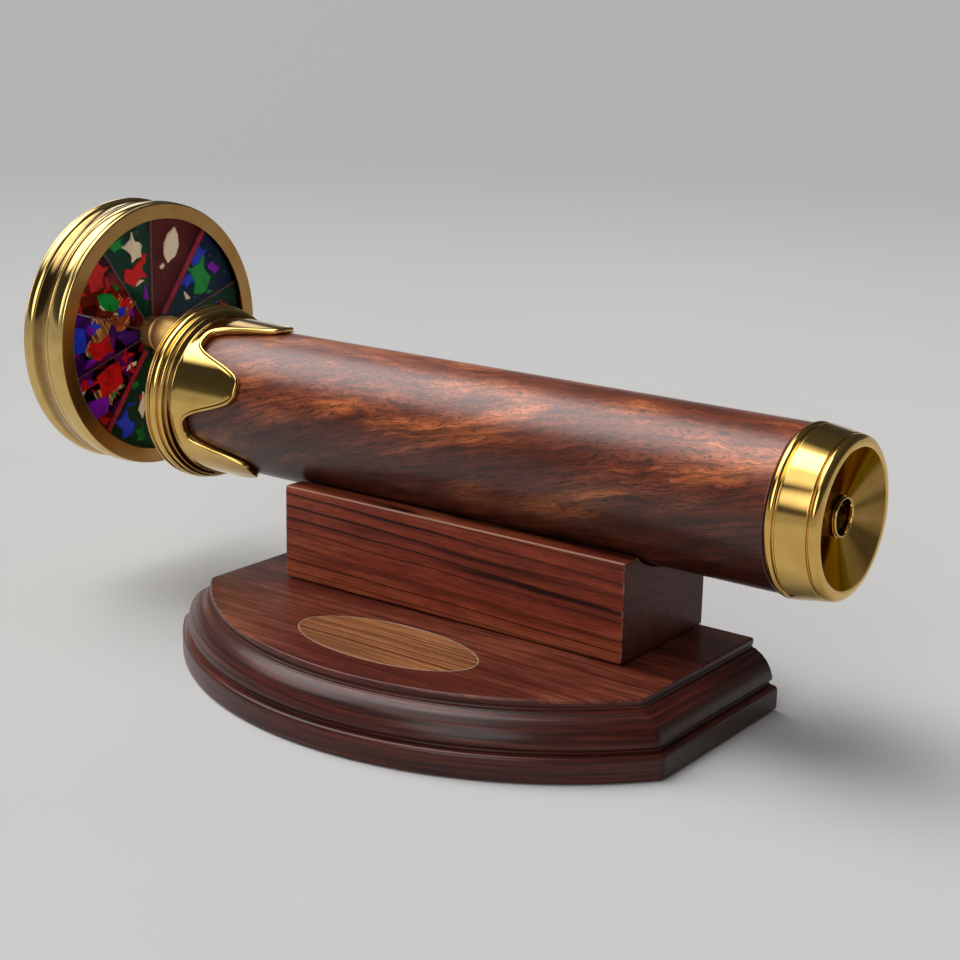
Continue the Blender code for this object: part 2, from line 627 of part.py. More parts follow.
def make_eye_end(brass, glass, parent):
    """The cap, the window inside it and the eyelet round its peep hole."""
    window = BARREL_RIGHT + SEAT_GAP
    turned("eye_window", [(window, 0), (window, TENON_RADIUS - SEAT_GAP),
                          (window + EYE_WINDOW_THICKNESS, TENON_RADIUS - SEAT_GAP),
                          (window + EYE_WINDOW_THICKNESS, 0)], glass, parent)
    bead_end = CAP_LEFT + CAP_LENGTH * CAP_BEAD_SHARE
    groove = CAP_LEFT + CAP_LENGTH * CAP_GROOVE_SHARE
    band_start = CAP_LEFT + CAP_LENGTH * CAP_BAND_START_SHARE
    band_end = CAP_LEFT + CAP_LENGTH * CAP_BAND_END_SHARE
    step = CAP_LEFT + CAP_LENGTH * CAP_STEP_SHARE
    crest = BARREL_RADIUS + CAP_RISE
    low = BARREL_RADIUS + CAP_RISE * CAP_GROOVE_RISE_SHARE
    profile = [(CAP_LEFT, low), (CAP_LEFT + (bead_end - CAP_LEFT) / 2, crest), (bead_end, low)]
    profile += [(groove, low), (band_start, crest), (band_end, crest - CAP_TAPER)]
    fall = crest - CAP_TAPER - CAP_STEP_DROP - CAP_LIP_RADIUS
    for along_share, fall_share in CAP_SHOULDER_SHARES:
        profile.append((step + (CAP_RIGHT - step) * along_share, CAP_LIP_RADIUS + fall * fall_share))
    profile += [(CAP_DISH, EYELET_RADIUS), (CAP_DISH, CAP_HOLE_RADIUS), (CAP_WALL, CAP_HOLE_RADIUS)]
    profile += [(CAP_WALL, TENON_RADIUS + SEAT_GAP), (CAP_LEFT, TENON_RADIUS + SEAT_GAP)]
    turned("eye_cap", profile, brass, parent, LARGE_STEPS)
    seat = CAP_DISH + SEAT_GAP
    top = seat + EYELET_RISE
    tube = CAP_HOLE_RADIUS - SEAT_GAP
    middle = (EYELET_RADIUS + EYELET_BORE_RADIUS) / 2
    turned("eyelet", [(CAP_WALL, EYELET_BORE_RADIUS), (CAP_WALL, tube), (seat, tube),
                      (seat, EYELET_RADIUS), (seat + EYELET_RISE / 2, EYELET_RADIUS),
                      (top, middle), (seat + EYELET_RISE / 2, EYELET_BORE_RADIUS)], brass, parent)


def make_axle(steel, brass, parent):
    """The shouldered axle in the end plate, and what keeps the wheel on it."""
    thread_start = NUT_RIGHT - SEAT_GAP
    thread_end = thread_start - AXLE_THREAD_LENGTH
    turned("axle", [(PLATE_RIGHT, 0), (PLATE_RIGHT, AXLE_SPIGOT_RADIUS),
                    (AXLE_FLANGE_RIGHT, AXLE_SPIGOT_RADIUS), (AXLE_FLANGE_RIGHT, AXLE_FLANGE_RADIUS),
                    (AXLE_FLANGE_LEFT, AXLE_FLANGE_RADIUS), (AXLE_FLANGE_LEFT, AXLE_RADIUS),
                    (WASHER_RIGHT, AXLE_RADIUS), (WASHER_RIGHT, AXLE_THREAD_RADIUS),
                    (thread_end, AXLE_THREAD_RADIUS), (thread_end, 0)], steel, parent)
    hole = AXLE_THREAD_RADIUS + SEAT_GAP
    turned("axle_washer", [(WASHER_RIGHT - SEAT_GAP, hole), (WASHER_RIGHT - SEAT_GAP, WASHER_RADIUS),
                           (WASHER_LEFT, WASHER_RADIUS), (WASHER_LEFT, hole)], brass, parent)
    floor = thread_end - SEAT_GAP
    dome = [(NUT_RIGHT - NUT_LENGTH * along_share, NUT_RADIUS * radius_share)
            for along_share, radius_share in NUT_SHARES]
    turned("axle_nut", [(NUT_RIGHT, hole)] + dome + [(floor, 0), (floor, hole)], brass, parent)


def make_wheel_rim(material, parent):
    core = WHEEL_RADIUS - RIM_RIB_RISE
    profile = [(WHEEL_FACE - WHEEL_WIDTH * across_share, core + RIM_RIB_RISE * rise_share)
               for across_share, rise_share in RIM_SHARES]
    lip = WHEEL_FACE - BEZEL_THICKNESS
    profile += [(WHEEL_BACK, CAVITY_RADIUS), (lip, CAVITY_RADIUS), (lip, BEZEL_OPENING_RADIUS)]
    profile.append((WHEEL_FACE, BEZEL_OPENING_RADIUS))
    turned("wheel_rim", profile, material, parent, LARGE_STEPS)
    end = BACK_BEZEL_RIGHT - BACK_BEZEL_WIDTH
    turned("back_bezel", [(BACK_BEZEL_RIGHT, BEZEL_OPENING_RADIUS), (BACK_BEZEL_RIGHT, GLASS_RADIUS),
                          (end, GLASS_RADIUS), (end, BEZEL_OPENING_RADIUS)],
           material, parent, LARGE_STEPS)


def make_glass_discs(glass, parent):
    for name, right in (("front_glass", FRONT_GLASS_RIGHT), ("rear_glass", REAR_GLASS_RIGHT)):
        left = right - GLASS_THICKNESS
        turned(name, [(right, GLASS_HOLE_RADIUS), (right, GLASS_RADIUS),
                      (left, GLASS_RADIUS), (left, GLASS_HOLE_RADIUS)], glass, parent, LARGE_STEPS)


def divider_angle(index):
    return FIRST_DIVIDER + index * SECTOR_ANGLE


def make_sectors(colours, parent):
    """Ten wedge plates of coloured glass behind the chamber."""
    for index, material in enumerate(colours):
        outline = []
        for radius, steps in ((GLASS_RADIUS, CORNER_STEPS), (GLASS_HOLE_RADIUS, 2)):
            lean = math.asin(SECTOR_JOINT / 2 / radius)
            start = divider_angle(index) + lean
            end = divider_angle(index + 1) - lean
            points = arc(0, 0, radius, start, end, steps)
            outline += points if not outline else points[::-1]
        shape = bmesh.new()
        add_plate(shape, outline, SECTOR_LEFT, SECTOR_RIGHT)
        make_object("sector_%02d" % (index + 1), shape, material, parent)


def make_divider_frame(material, parent):
    """A flat ring with thin arms over the joints between sectors, where no rod lies."""
    inner = GLASS_HOLE_RADIUS + SEAT_GAP
    outer = inner + FRAME_RING_WIDTH
    lean = math.asin(STRIP_WIDTH / 2 / outer)
    tip_lean = math.asin(STRIP_WIDTH / 2 / GLASS_RADIUS)
    outer_points = []
    inner_points = []
    for index in range(SECTOR_COUNT):
        angle = divider_angle(index)
        has_arm = index % (SECTOR_COUNT // 2) != 0
        tip = (GLASS_RADIUS, tip_lean) if has_arm else (outer, lean / 2)
        for radius, turn in ((outer, -lean), (tip[0], -tip[1]), (tip[0], tip[1]), (outer, lean)):
            outer_points.append((radius * math.cos(angle + turn), radius * math.sin(angle + turn)))
        for turn in (-lean, -lean / 2, lean / 2, lean):
            inner_points.append((inner * math.cos(angle + turn), inner * math.sin(angle + turn)))
    low = SECTOR_RIGHT + SEAT_GAP
    high = low + STRIP_DEPTH
    loops = []
    for points, x in ((outer_points, low), (outer_points, high), (inner_points, high), (inner_points, low)):
        loops.append([(x, y, z) for y, z in points])
    shape = bmesh.new()
    add_tube(shape, loops)
    make_object("divider_frame", shape, material, parent)


def make_divider_rods(material, parent):
    """Two red rods behind the front glass, over opposite joints between sectors."""
    inner = GLASS_HOLE_RADIUS + FRAME_RING_WIDTH + 2 * SEAT_GAP
    profile = [(inner, 0), (inner, ROD_RADIUS), (GLASS_RADIUS, ROD_RADIUS), (GLASS_RADIUS, 0)]
    lift = Matrix.Translation((CHAMBER_RIGHT - SEAT_GAP - ROD_RADIUS, 0, 0))
    for name, index in (("divider_rod_upper", 0), ("divider_rod_lower", SECTOR_COUNT // 2)):
        lie = Matrix.Rotation(divider_angle(index), 4, "X") @ Matrix.Rotation(math.pi / 2, 4, "Z")
        shape = bmesh.new()
        add_turned(shape, profile, SMALL_STEPS // 2, lift @ lie)
        make_object(name, shape, material, parent)


def make_chips(materials, parent):
    """Chips of coloured glass on the sectors' front."""
    floor = SECTOR_RIGHT + SEAT_GAP
    for index, row in enumerate(CHIP_SHARES):
        colour, sector, radius_share, angle_share, length_share, turn_degrees, outline_shares = row
        angle = divider_angle(sector) + SECTOR_ANGLE * angle_share
        radius = BEZEL_OPENING_RADIUS * radius_share
        length = CHIP_LENGTH * length_share
        turn = Matrix.Rotation(math.radians(turn_degrees), 3, "X")
        points = []
        for along_share, across_share in outline_shares:
            point = turn @ Vector((0, length * along_share, length * across_share))
            points.append((point.y + radius * math.cos(angle), point.z + radius * math.sin(angle)))
        shape = bmesh.new()
        add_plate(shape, points, floor, floor + CHIP_THICKNESS)
        make_object("chip_%02d" % (index + 1), shape, materials[colour], parent)


def make_hub(brass, parent):
    """The hub's neck, boss and tube in one turned piece, and the flange behind the glass."""
    profile = [(HUB_RIGHT, HUB_BORE_RADIUS), (HUB_RIGHT, HUB_NECK_RADIUS)]
    for along_share, radius_share in reversed(BOSS_SHARES):
        profile.append((BOSS_LEFT + HUB_BOSS_LENGTH * along_share, HUB_BOSS_RADIUS * radius_share))
    profile += [(BOSS_LEFT, HUB_TUBE_RADIUS), (HUB_FLANGE_LEFT, HUB_TUBE_RADIUS)]
    profile.append((HUB_FLANGE_LEFT, HUB_BORE_RADIUS))
    turned("wheel_hub", profile, brass, parent)
    turned("hub_flange", [(HUB_FLANGE_RIGHT, GLASS_HOLE_RADIUS), (HUB_FLANGE_RIGHT, HUB_FLANGE_RADIUS),
                          (HUB_FLANGE_LEFT, HUB_FLANGE_RADIUS), (HUB_FLANGE_LEFT, GLASS_HOLE_RADIUS)],
           brass, parent)


def main():
    clear_scene()
    rosewood = look("rosewood", (0.30, 0.105, 0.052), 0.24)
    block_wood = look("block wood", (0.20, 0.052, 0.028), 0.32)
    mahogany = look("mahogany", (0.155, 0.040, 0.026), 0.26)
    satinwood = look("satinwood", (0.46, 0.215, 0.075), 0.30)
    boxwood = look("boxwood", (0.83, 0.62, 0.42), 0.35)
    felt = look("felt", (0.03, 0.05, 0.035), 0.95)
    brass = look("brass", (0.86, 0.62, 0.25), 0.16, metallic=1.0)
    steel = look("steel", (0.55, 0.55, 0.56), 0.30, metallic=1.0)
    clear = look("clear glass", (0.95, 0.97, 0.96), 0.02, transmission=1.0)
    silver = look("mirror", (0.92, 0.93, 0.94), 0.02, metallic=1.0)
    cork = look("cork", (0.42, 0.26, 0.13), 0.85)
    came = look("dark came", (0.10, 0.07, 0.06), 0.50)
    red_glass = look("red glass", (0.60, 0.05, 0.07), 0.10, transmission=0.4)
    tints = {"maroon": (0.16, 0.02, 0.025), "green": (0.01, 0.07, 0.03), "plum": (0.14, 0.015, 0.06),
             "violet": (0.12, 0.02, 0.20), "crimson": (0.25, 0.01, 0.02), "navy": (0.01, 0.02, 0.10)}
    tinted = {name: look(name + " glass", colour, 0.08, transmission=0.5)
              for name, colour in tints.items()}
    order = ("maroon", "green", "plum", "violet", "crimson", "green", "maroon", "navy", "green", "navy")
    chip_colours = {"cream": (0.80, 0.68, 0.45), "red": (0.70, 0.03, 0.03), "green": (0.03, 0.32, 0.08),
                    "blue": (0.06, 0.10, 0.60), "violet": (0.28, 0.03, 0.38)}
    chips = {name: look(name + " chip", colour, 0.20) for name, colour in chip_colours.items()}

    make_base(mahogany)
    make_felt(felt)
    make_inlay(satinwood, boxwood)
    make_cradle_block(block_wood)
    make_cradle_screws(steel)

    scope = make_empty("scope axis", (0, 0, AXIS_Z))
    make_barrel(rosewood, scope)
    make_crown_collar(brass, scope)
    make_object_end(brass, clear, scope)
    make_mirrors(silver, cork, scope)
    make_eye_end(brass, clear, scope)

    wheel = make_empty("wheel axis", (0, 0, WHEEL_Z))
    make_axle(steel, brass, wheel)
    make_wheel_rim(brass, wheel)
    make_glass_discs(clear, wheel)
    make_sectors([tinted[name] for name in order], wheel)
    make_divider_frame(came, wheel)
    make_divider_rods(red_glass, wheel)
    make_chips(chips, wheel)
    make_hub(brass, wheel)


main()
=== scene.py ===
import math
import random

import bmesh
import bpy
from mathutils import Matrix, Vector


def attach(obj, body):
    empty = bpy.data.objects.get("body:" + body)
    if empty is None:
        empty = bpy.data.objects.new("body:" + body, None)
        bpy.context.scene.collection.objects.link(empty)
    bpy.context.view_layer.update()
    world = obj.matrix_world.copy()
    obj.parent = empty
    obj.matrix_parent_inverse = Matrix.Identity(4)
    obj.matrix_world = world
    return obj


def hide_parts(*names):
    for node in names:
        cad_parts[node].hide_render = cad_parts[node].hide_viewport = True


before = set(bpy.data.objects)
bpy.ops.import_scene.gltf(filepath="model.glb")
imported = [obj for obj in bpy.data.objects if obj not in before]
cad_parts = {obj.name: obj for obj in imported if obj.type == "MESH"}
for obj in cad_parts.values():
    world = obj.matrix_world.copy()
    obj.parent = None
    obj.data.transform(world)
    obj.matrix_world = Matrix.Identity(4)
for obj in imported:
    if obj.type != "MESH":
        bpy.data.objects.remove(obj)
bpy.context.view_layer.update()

random.seed(11)

# Places and sizes in metres and radians, the same as the CAD's
AXIS_Z = 0.0529
WHEEL_Z = 0.0654
BASE_LOW = 0.0003
BASE_TOP = 0.0157
BASE_OVERHANG = 0.0075
BASE_CORNER = 0.0605
BOW_RADIUS = 0.0797
BOW_CENTRE_Y = 0.0230
FELT_THICK = 0.0012
FELT_INSET = 0.0020
INLAY_Y = -0.0373
INLAY_NARROWER = 0.0251
BLOCK_LOW = 0.0160
BLOCK_TOP = 0.0387
BLOCK_HALF = 0.0480
BACK_Y = 0.01725
BARREL_LEFT = -0.0860
BARREL_RIGHT = 0.0840
BARREL_RADIUS = 0.0180
BORE_RADIUS = 0.0146
SLEEVE_RADIUS = 0.0183
TENON_RADIUS = 0.0168
COLLAR_LEFT = -0.0906
CROWN_START = -0.0834
CROWN_VALLEY = -0.0800
LOBES = 5
LOBE_LENGTH = 0.0167
FIRST_LOBE = math.radians(159)
PLATE_SEAT = -0.0882
PLATE_SEAT_RADIUS = 0.0203
CAP_LEFT = 0.0802
CAP_RIGHT = 0.0913
CAP_WALL = 0.0861
CAP_DISH = 0.0883
WHEEL_FACE = -0.1063
WHEEL_BACK = -0.1207
CAVITY_RADIUS = 0.0321
OPENING_RADIUS = 0.0300
GLASS_RADIUS = 0.0318
GLASS_HOLE_RADIUS = 0.0043
GLASS_THICK = 0.0010
FRONT_GLASS_RIGHT = -0.1072
REAR_GLASS_RIGHT = -0.1124
CLAMP_RIGHT = -0.1137
BEZEL_LEFT = -0.1202
HUB_LEFT = -0.1162
SECTOR_RIGHT = -0.1106
SECTORS = 10
SECTOR_ANGLE = math.radians(36)
FIRST_DIVIDER = math.radians(54)

# Shapes that only the scene has
INLAY_POCKET, INLAY_OUTER, INLAY_INNER = 0.0478, 0.0477, 0.0471
SCRAP_BACK = SECTOR_RIGHT + 0.0001
CHIP_BACK = SECTOR_RIGHT + 0.0003
CHIP_LENGTH = 0.010
ROD_X, ROD_RADIUS = -0.1094, 0.00062
DIVIDER_END = 0.0317

# Millimetres in a metre, for the materials
MM = 1000


# Geometry

def oval_arc(x, y, x_size, y_size, degrees):
    """Points of an oval's edge at angles in degrees."""
    angles = [math.radians(a) for a in degrees]
    return [(x + x_size * math.cos(a), y + y_size * math.sin(a)) for a in angles]


def arc(x, y, radius, start, end, steps):
    """Points along an arc, with start and end in degrees."""
    degrees = [start + (end - start) * step / steps for step in range(steps + 1)]
    return oval_arc(x, y, radius, radius, degrees)


def around(x, radius, angle, axis_z=AXIS_Z):
    """The point at a radius and an angle from a line along X."""
    return x, radius * math.cos(angle), axis_z + radius * math.sin(angle)


def full_turn(steps):
    """Equal angles all round."""
    return [2 * math.pi * step / steps for step in range(steps)]


def at_height(outline, z):
    """A flat outline's points, all at one height."""
    return [(x, y, z) for x, y in outline]


def soften(outline, radius, closed=True, steps=4):
    """Rounds each corner of an outline with a short curve, as far as its sides allow."""
    side_share, shortest, straight = 0.45, 1e-6, math.radians(174)
    points = [Vector(point) for point in outline]
    result = []
    for index, here in enumerate(points):
        before = points[index - 1] - here
        after = points[(index + 1) % len(points)] - here
        at_end = not closed and index in (0, len(points) - 1)
        reach = min(radius, before.length * side_share, after.length * side_share)
        if at_end or reach < shortest or before.angle(after) > straight:
            result.append(tuple(here))
            continue
        start = here + before.normalized() * reach
        end = here + after.normalized() * reach
        for step in range(steps + 1):
            t = step / steps
            point = start * (1 - t) ** 2 + here * 2 * t * (1 - t) + end * t ** 2
            result.append(tuple(point))
    return result


def relief(start, length, low, rise, radius, points, steps=3):
    """A softened profile through points in thousandths of a length and of a rise."""
    outline = [(start + length * (along / 1000), low + rise * (high / 1000))
               for along, high in points]
    return soften(outline, radius, closed=False, steps=steps)


def add_loops(shape, loops, wrap=True, paint=None):
    """Joins rings of points, each to the next; paint gives a face's material from its middle."""
    rings = [[shape.verts.new(point) for point in loop] for loop in loops]
    pairs = zip(rings, rings[1:] + rings[:1]) if wrap else zip(rings, rings[1:])
    for near, far in pairs:
        steps = max(len(near), len(far))
        for step in range(steps) if steps > 1 else ():
            after = (step + 1) % steps
            corners = (near[step % len(near)], near[after % len(near)],
                       far[after % len(far)], far[step % len(far)])
            face = shape.faces.new(dict.fromkeys(corners))
            if paint:
                face.material_index = paint(face.calc_center_median())
    return rings


def add_bar(shape, loops):
    """Joins rings of points, each to the next, and closes both ends."""
    rings = add_loops(shape, loops, wrap=False)
    shape.faces.new(rings[0])
    shape.faces.new(rings[-1])


def add_turned(shape, profile, axis_z, steps, paint=None):
    """Adds a solid turned about a line along X, from a closed profile of (x, radius)."""
    def by_place(middle):
        return paint(middle.x, math.hypot(middle.y, middle.z - axis_z))

    loops = [[around(x, radius, a, axis_z) for a in full_turn(steps if radius else 1)]
             for x, radius in profile]
    add_loops(shape, loops, paint=paint and by_place)


def add_object(name, shape, materials):
    """Makes an object of a bmesh, which is freed."""
    mesh = bpy.data.meshes.new(name)
    shape.to_mesh(mesh)
    shape.free()
    for material in materials:
        mesh.materials.append(material)
    thing = bpy.data.objects.new(name, mesh)
    bpy.context.scene.collection.objects.link(thing)
    return thing


def finish_piece(name, shape, materials, body, nodes, sharp=38):
    """Makes a smooth piece of a bmesh, riding on a body in place of CAD nodes."""
    bmesh.ops.recalc_face_normals(shape, faces=shape.faces)
    piece = add_object(name, shape, materials)
    piece.data.shade_smooth()
    piece.data.set_sharp_from_angle(angle=math.radians(sharp))
    weighted = piece.modifiers.new("weighted normals", "WEIGHTED_NORMAL")
    weighted.keep_sharp = True
    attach(piece, body)
    if nodes:
        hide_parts(*nodes)
    return piece


def turned(name, profile, materials, body, nodes, steps=192, paint=None):
    """A piece turned about the barrel's or the wheel's axis; paint is given (x, radius)."""
    shape = bmesh.new()
    add_turned(shape, profile, WHEEL_Z if body == "wheel" else AXIS_Z, steps, paint)
    return finish_piece(name, shape, materials, body, nodes)


# Materials

class Paint:
    """A material's nodes: each call adds some and gives back the last one's output."""

    def __init__(self, name, world=None):
        self.material = world or bpy.data.materials.new(name)
        self.material.use_nodes = True
        self.tree = self.material.node_tree
        self.shader = self.tree.nodes["Background" if world else "Principled BSDF"]

    def put(self, socket, value):
        """Links a socket or sets its value."""
        if isinstance(value, bpy.types.NodeSocket):
            self.tree.links.new(value, socket)
        elif socket.type == "RGBA" and len(value) == 3:
            socket.default_value = (*value, 1.0)
        else:
            socket.default_value = value

    def add(self, kind, inputs, output=0, **settings):
        node = self.tree.nodes.new("ShaderNode" + kind)
        for key, value in settings.items():
            setattr(node, key, value)
        for key, value in inputs.items():
            self.put(node.inputs[key], value)
        return node.outputs[output]

    def set(self, **values):
        """Sets the shader's sockets: an underscore in a name stands for a space."""
        for key, value in values.items():
            self.put(self.shader.inputs[key.replace("_", " ")], value)
        return self.material

    def plus(self, first, second):
        return self.add("VectorMath", {0: first, 1: second}, operation="ADD")

    def stretch(self, vector, scale):
        return self.add("VectorMath", {0: vector, 1: scale}, operation="MULTIPLY")

    def dot(self, first, second):
        return self.add("VectorMath", {0: first, 1: second}, "Value", operation="DOT_PRODUCT")

    def length(self, vector):
        return self.add("VectorMath", {0: vector}, "Value", operation="LENGTH")

    def part(self, vector, axis):
        return self.add("SeparateXYZ", {0: vector}, axis)

    def spin(self, vector, degrees, axis):
        return self.add("VectorRotate", {"Vector": vector, "Angle": math.radians(degrees)},
                        rotation_type=axis + "_AXIS")

    def place(self, axis_z=0.0):
        """Where a point is on the object, from an axis at a height, in millimetres."""
        moved = self.plus(self.add("TexCoord", {}, "Object"), (0, 0, -axis_z))
        return self.stretch(moved, (MM, MM, MM))

    def math(self, operation, first, second=0.0):
        return self.add("Math", {0: first, 1: second}, operation=operation)

    def times(self, first, second):
        return self.math("MULTIPLY", first, second)

    def swing(self, noise, size):
        """Noise spread round zero, over a size."""
        return self.times(self.math("SUBTRACT", noise, 0.5), size)

    def fade(self, value, start, end, low=0.0, high=1.0):
        """Goes smoothly from low to high while a value goes from start to end."""
        return self.add("MapRange", {0: value, 1: start, 2: end, 3: low, 4: high},
                        interpolation_type="SMOOTHSTEP")

    def near(self, value, target, width):
        """One where a value is at its target, and nothing beyond a width from it."""
        gap = self.math("ABSOLUTE", self.math("SUBTRACT", value, target))
        return self.fade(gap, 0.35 * width, width, 1.0, 0.0)

    def noise(self, vector, scale, detail, rough=0.5, distort=0.0):
        """Noise at a point, with its coordinates stretched by a scale."""
        return self.add("TexNoise", {"Vector": self.stretch(vector, scale), "Scale": 1.0,
                                     "Detail": detail, "Roughness": rough, "Distortion": distort})

    def cloud(self, scale, detail, rough=0.5):
        """Noise with the same scale in every direction."""
        return self.noise(self.place(), (scale, scale, scale), detail, rough)

    def bump(self, height, strength, distance):
        return self.add("Bump", {"Height": height, "Strength": strength, "Distance": distance})

    def ramp(self, factor, *stops):
        """A colour ramp through (place, colour) stops; a plain number gives a grey."""
        output = self.add("ValToRGB", {"Fac": factor})
        elements = output.node.color_ramp.elements
        while len(elements) < len(stops):
            elements.new(0.5)
        for element, (spot, colour) in zip(elements, stops):
            element.position = spot
            full = (colour,) * 3 if isinstance(colour, (int, float)) else colour
            element.color = (*full, 1.0)
        return output

    def mix(self, factor, first, second, blend="MIX"):
        return self.add("Mix", {0: factor, 6: first, 7: second}, 2,
                        data_type="RGBA", blend_type=blend)

    def tint(self, first, second):
        """One colour multiplied by another."""
        return self.mix(1.0, first, second, "MULTIPLY")


def shade(colour, share):
    """A colour with a share of its strength."""
    return tuple(share * part for part in colour)


def moulded_colour(paint, here, colour, dark, mid):
    """The base's moulded side, with finer and darker streaks along it, below its top edge."""
    streak = paint.noise(here, (0.03, 0.03, 1.5), 4, 0.62)
    thread = paint.noise(here, (0.08, 0.08, 5.0), 3, 0.6)
    lower = paint.ramp(streak, (0.34, dark), (0.44, shade(mid, 0.35)), (0.56, shade(mid, 0.6)),
                       (0.68, mid))
    lower = paint.tint(lower, paint.ramp(thread, (0.32, 0.62), (0.68, 1.3)))
    top = MM * BASE_TOP
    return paint.mix(paint.fade(paint.part(here, 2), top - 0.9, top - 0.5), lower, colour)


def end_grain_and_shade_colour(paint, spot, colour, dark, mid):
    """Even, darker wood on the faces that look along X: end grain, darkened further with painted
    shade.
    """
    normal = paint.add("NewGeometry", {}, "True Normal")
    end = paint.math("ABSOLUTE", paint.part(normal, 0))
    speckle = paint.noise(spot, (0.1, 1.2, 0.25), 4, 0.6)
    close = tuple((3 * low + high) / 5 for low, high in zip(dark, mid))
    butt = paint.ramp(speckle, (0.35, shade(close, 0.7)), (0.65, close))
    # Painted shade over the end grain, on every face that looks along X.
    return paint.mix(paint.fade(end, 0.75, 0.92, 0.0, 0.85), colour, butt)


def wear_and_edge_highlight_colour(paint, here, colour):
    """Pale wood: a painted highlight along the block's long top edges and at their corners, and
    wear in places on its short ones.
    """
    width = 0.5
    sides = [paint.math("ABSOLUTE", paint.part(here, axis)) for axis in (0, 1)]
    ends = paint.near(sides[0], MM * BLOCK_HALF, width)
    faces = paint.near(sides[1], MM * BACK_Y, width)
    rim = paint.near(paint.part(here, 2), MM * BLOCK_TOP, width)
    rubbed = paint.ramp(paint.noise(here, (0.12, 0.7, 0.7), 4, 0.6), (0.42, 0.0), (0.6, 1.0))
    # Painted highlight: the long top edges are pale all along, even where nothing rubbed them.
    along = paint.times(faces, rim)
    either = paint.times(ends, paint.math("MAXIMUM", faces, rim))
    short = paint.times(paint.times(either, rubbed), 0.35)
    worst = paint.math("MAXIMUM", short, paint.times(along, ends))
    worst = paint.math("MAXIMUM", worst, paint.times(along, 0.6))
    return paint.mix(worst, colour, (0.46, 0.29, 0.2))


def wood(name, tones, spacing, drift, edge, contrast, ripple=0.5, flecks=0.35, gloss=0.36,
         coat=0.1, turn=0, move=(0, 0, 0), fibres=(0.6, 1.3), level=0.3, coat_rough=0.22,
         painted_light_from_above=False, moulding=False, edge_wear_and_highlight=False):
    """Lacquered wood with growth lines along X, at a spacing in depth and height in mm.

    The tones are dark, middle and pale. The lines wander by drift slowly and ripple quickly, and
    edge is where across a line its dark part starts, and is full.
    """
    paint = Paint(name)
    here = paint.place()
    spot = paint.plus(here, move)
    if turn:
        spot = paint.spin(spot, turn, "Y")
    slow = paint.swing(paint.noise(spot, (0.014, 0.045, 0.045), 2), drift)
    quick = paint.swing(paint.noise(spot, (0.1, 0.26, 0.26), 3, 0.55), ripple)
    push = paint.math("ADD", slow, quick)
    grain = paint.plus(spot, paint.add("CombineXYZ", {0: 0.0, 1: push, 2: push}))
    across = paint.dot(grain, (0.002, 1 / spacing[0], 1 / spacing[1]))
    uneven = paint.noise(grain, (0.003, 0.9 / spacing[0], 0.9 / spacing[1]), 2)
    phase = paint.math("FRACT", paint.math("ADD", across, paint.times(uneven, 2.2)))
    ring = paint.ramp(phase, (0.0, 0.4), (0.06, 0.04), (edge[0] - 0.25, 0.1), (edge[0], 0.35),
                      (edge[1], 1.0), (0.96, 0.95), (1.0, 0.4))
    strength = paint.ramp(paint.noise(grain, (0.006, 0.3, 0.3), 3),
                          (0.36, 0.35 * contrast), (0.56, contrast))
    fine = paint.noise(grain, (0.055, 2.2, 2.2), 4, 0.6)
    pores = paint.noise(grain, (0.26, 3.6, 3.6), 2, 0.55)
    broad = paint.noise(grain, (0.022, 0.12, 0.12), 4, 0.6)
    dark, mid, pale = tones
    colour = paint.ramp(broad, (0.34, shade(mid, 0.66)), (0.5, mid), (0.66, pale))
    colour = paint.mix(paint.times(ring, strength), colour, dark)
    fibre = paint.ramp(fine, (0.3, fibres[0]), (0.5, 0.96), (0.7, fibres[1]))
    colour = paint.tint(colour, fibre)
    mark = paint.ramp(pores, (0.56, 0.0), (0.65, 1.0))
    colour = paint.mix(paint.times(mark, flecks), colour, shade(dark, 0.4))
    # Painted light and shade: by height, the colour is paler towards the top and darker towards
    # the bottom.
    if painted_light_from_above:
        rise = paint.math("ADD", paint.part(here, 2), paint.swing(broad, 26.0))
        painted_light_by_height = paint.ramp(paint.fade(rise, MM * AXIS_Z - 13, MM * AXIS_Z + 17),
                           (0.0, (0.36, 0.24, 0.22)), (0.5, (0.84, 0.68, 0.6)),
                           (1.0, (1.7, 1.28, 0.95)))
        colour = paint.tint(colour, painted_light_by_height)
    if moulding:
        colour = moulded_colour(paint, here, colour, dark, mid)
    # Painted shade on the end faces, over their darker end grain.
    colour = end_grain_and_shade_colour(paint, spot, colour, dark, mid)
    if edge_wear_and_highlight:
        colour = wear_and_edge_highlight_colour(paint, here, colour)
    shine = paint.ramp(fine, (0.3, gloss + 0.08), (0.7, gloss))
    lift = paint.math("SUBTRACT", fine, paint.times(mark, 0.8))
    return paint.set(Base_Color=colour, Roughness=shine, Normal=paint.bump(lift, 0.3, 0.00006),
                     Coat_Weight=coat, Coat_Roughness=coat_rough, Specular_IOR_Level=level)


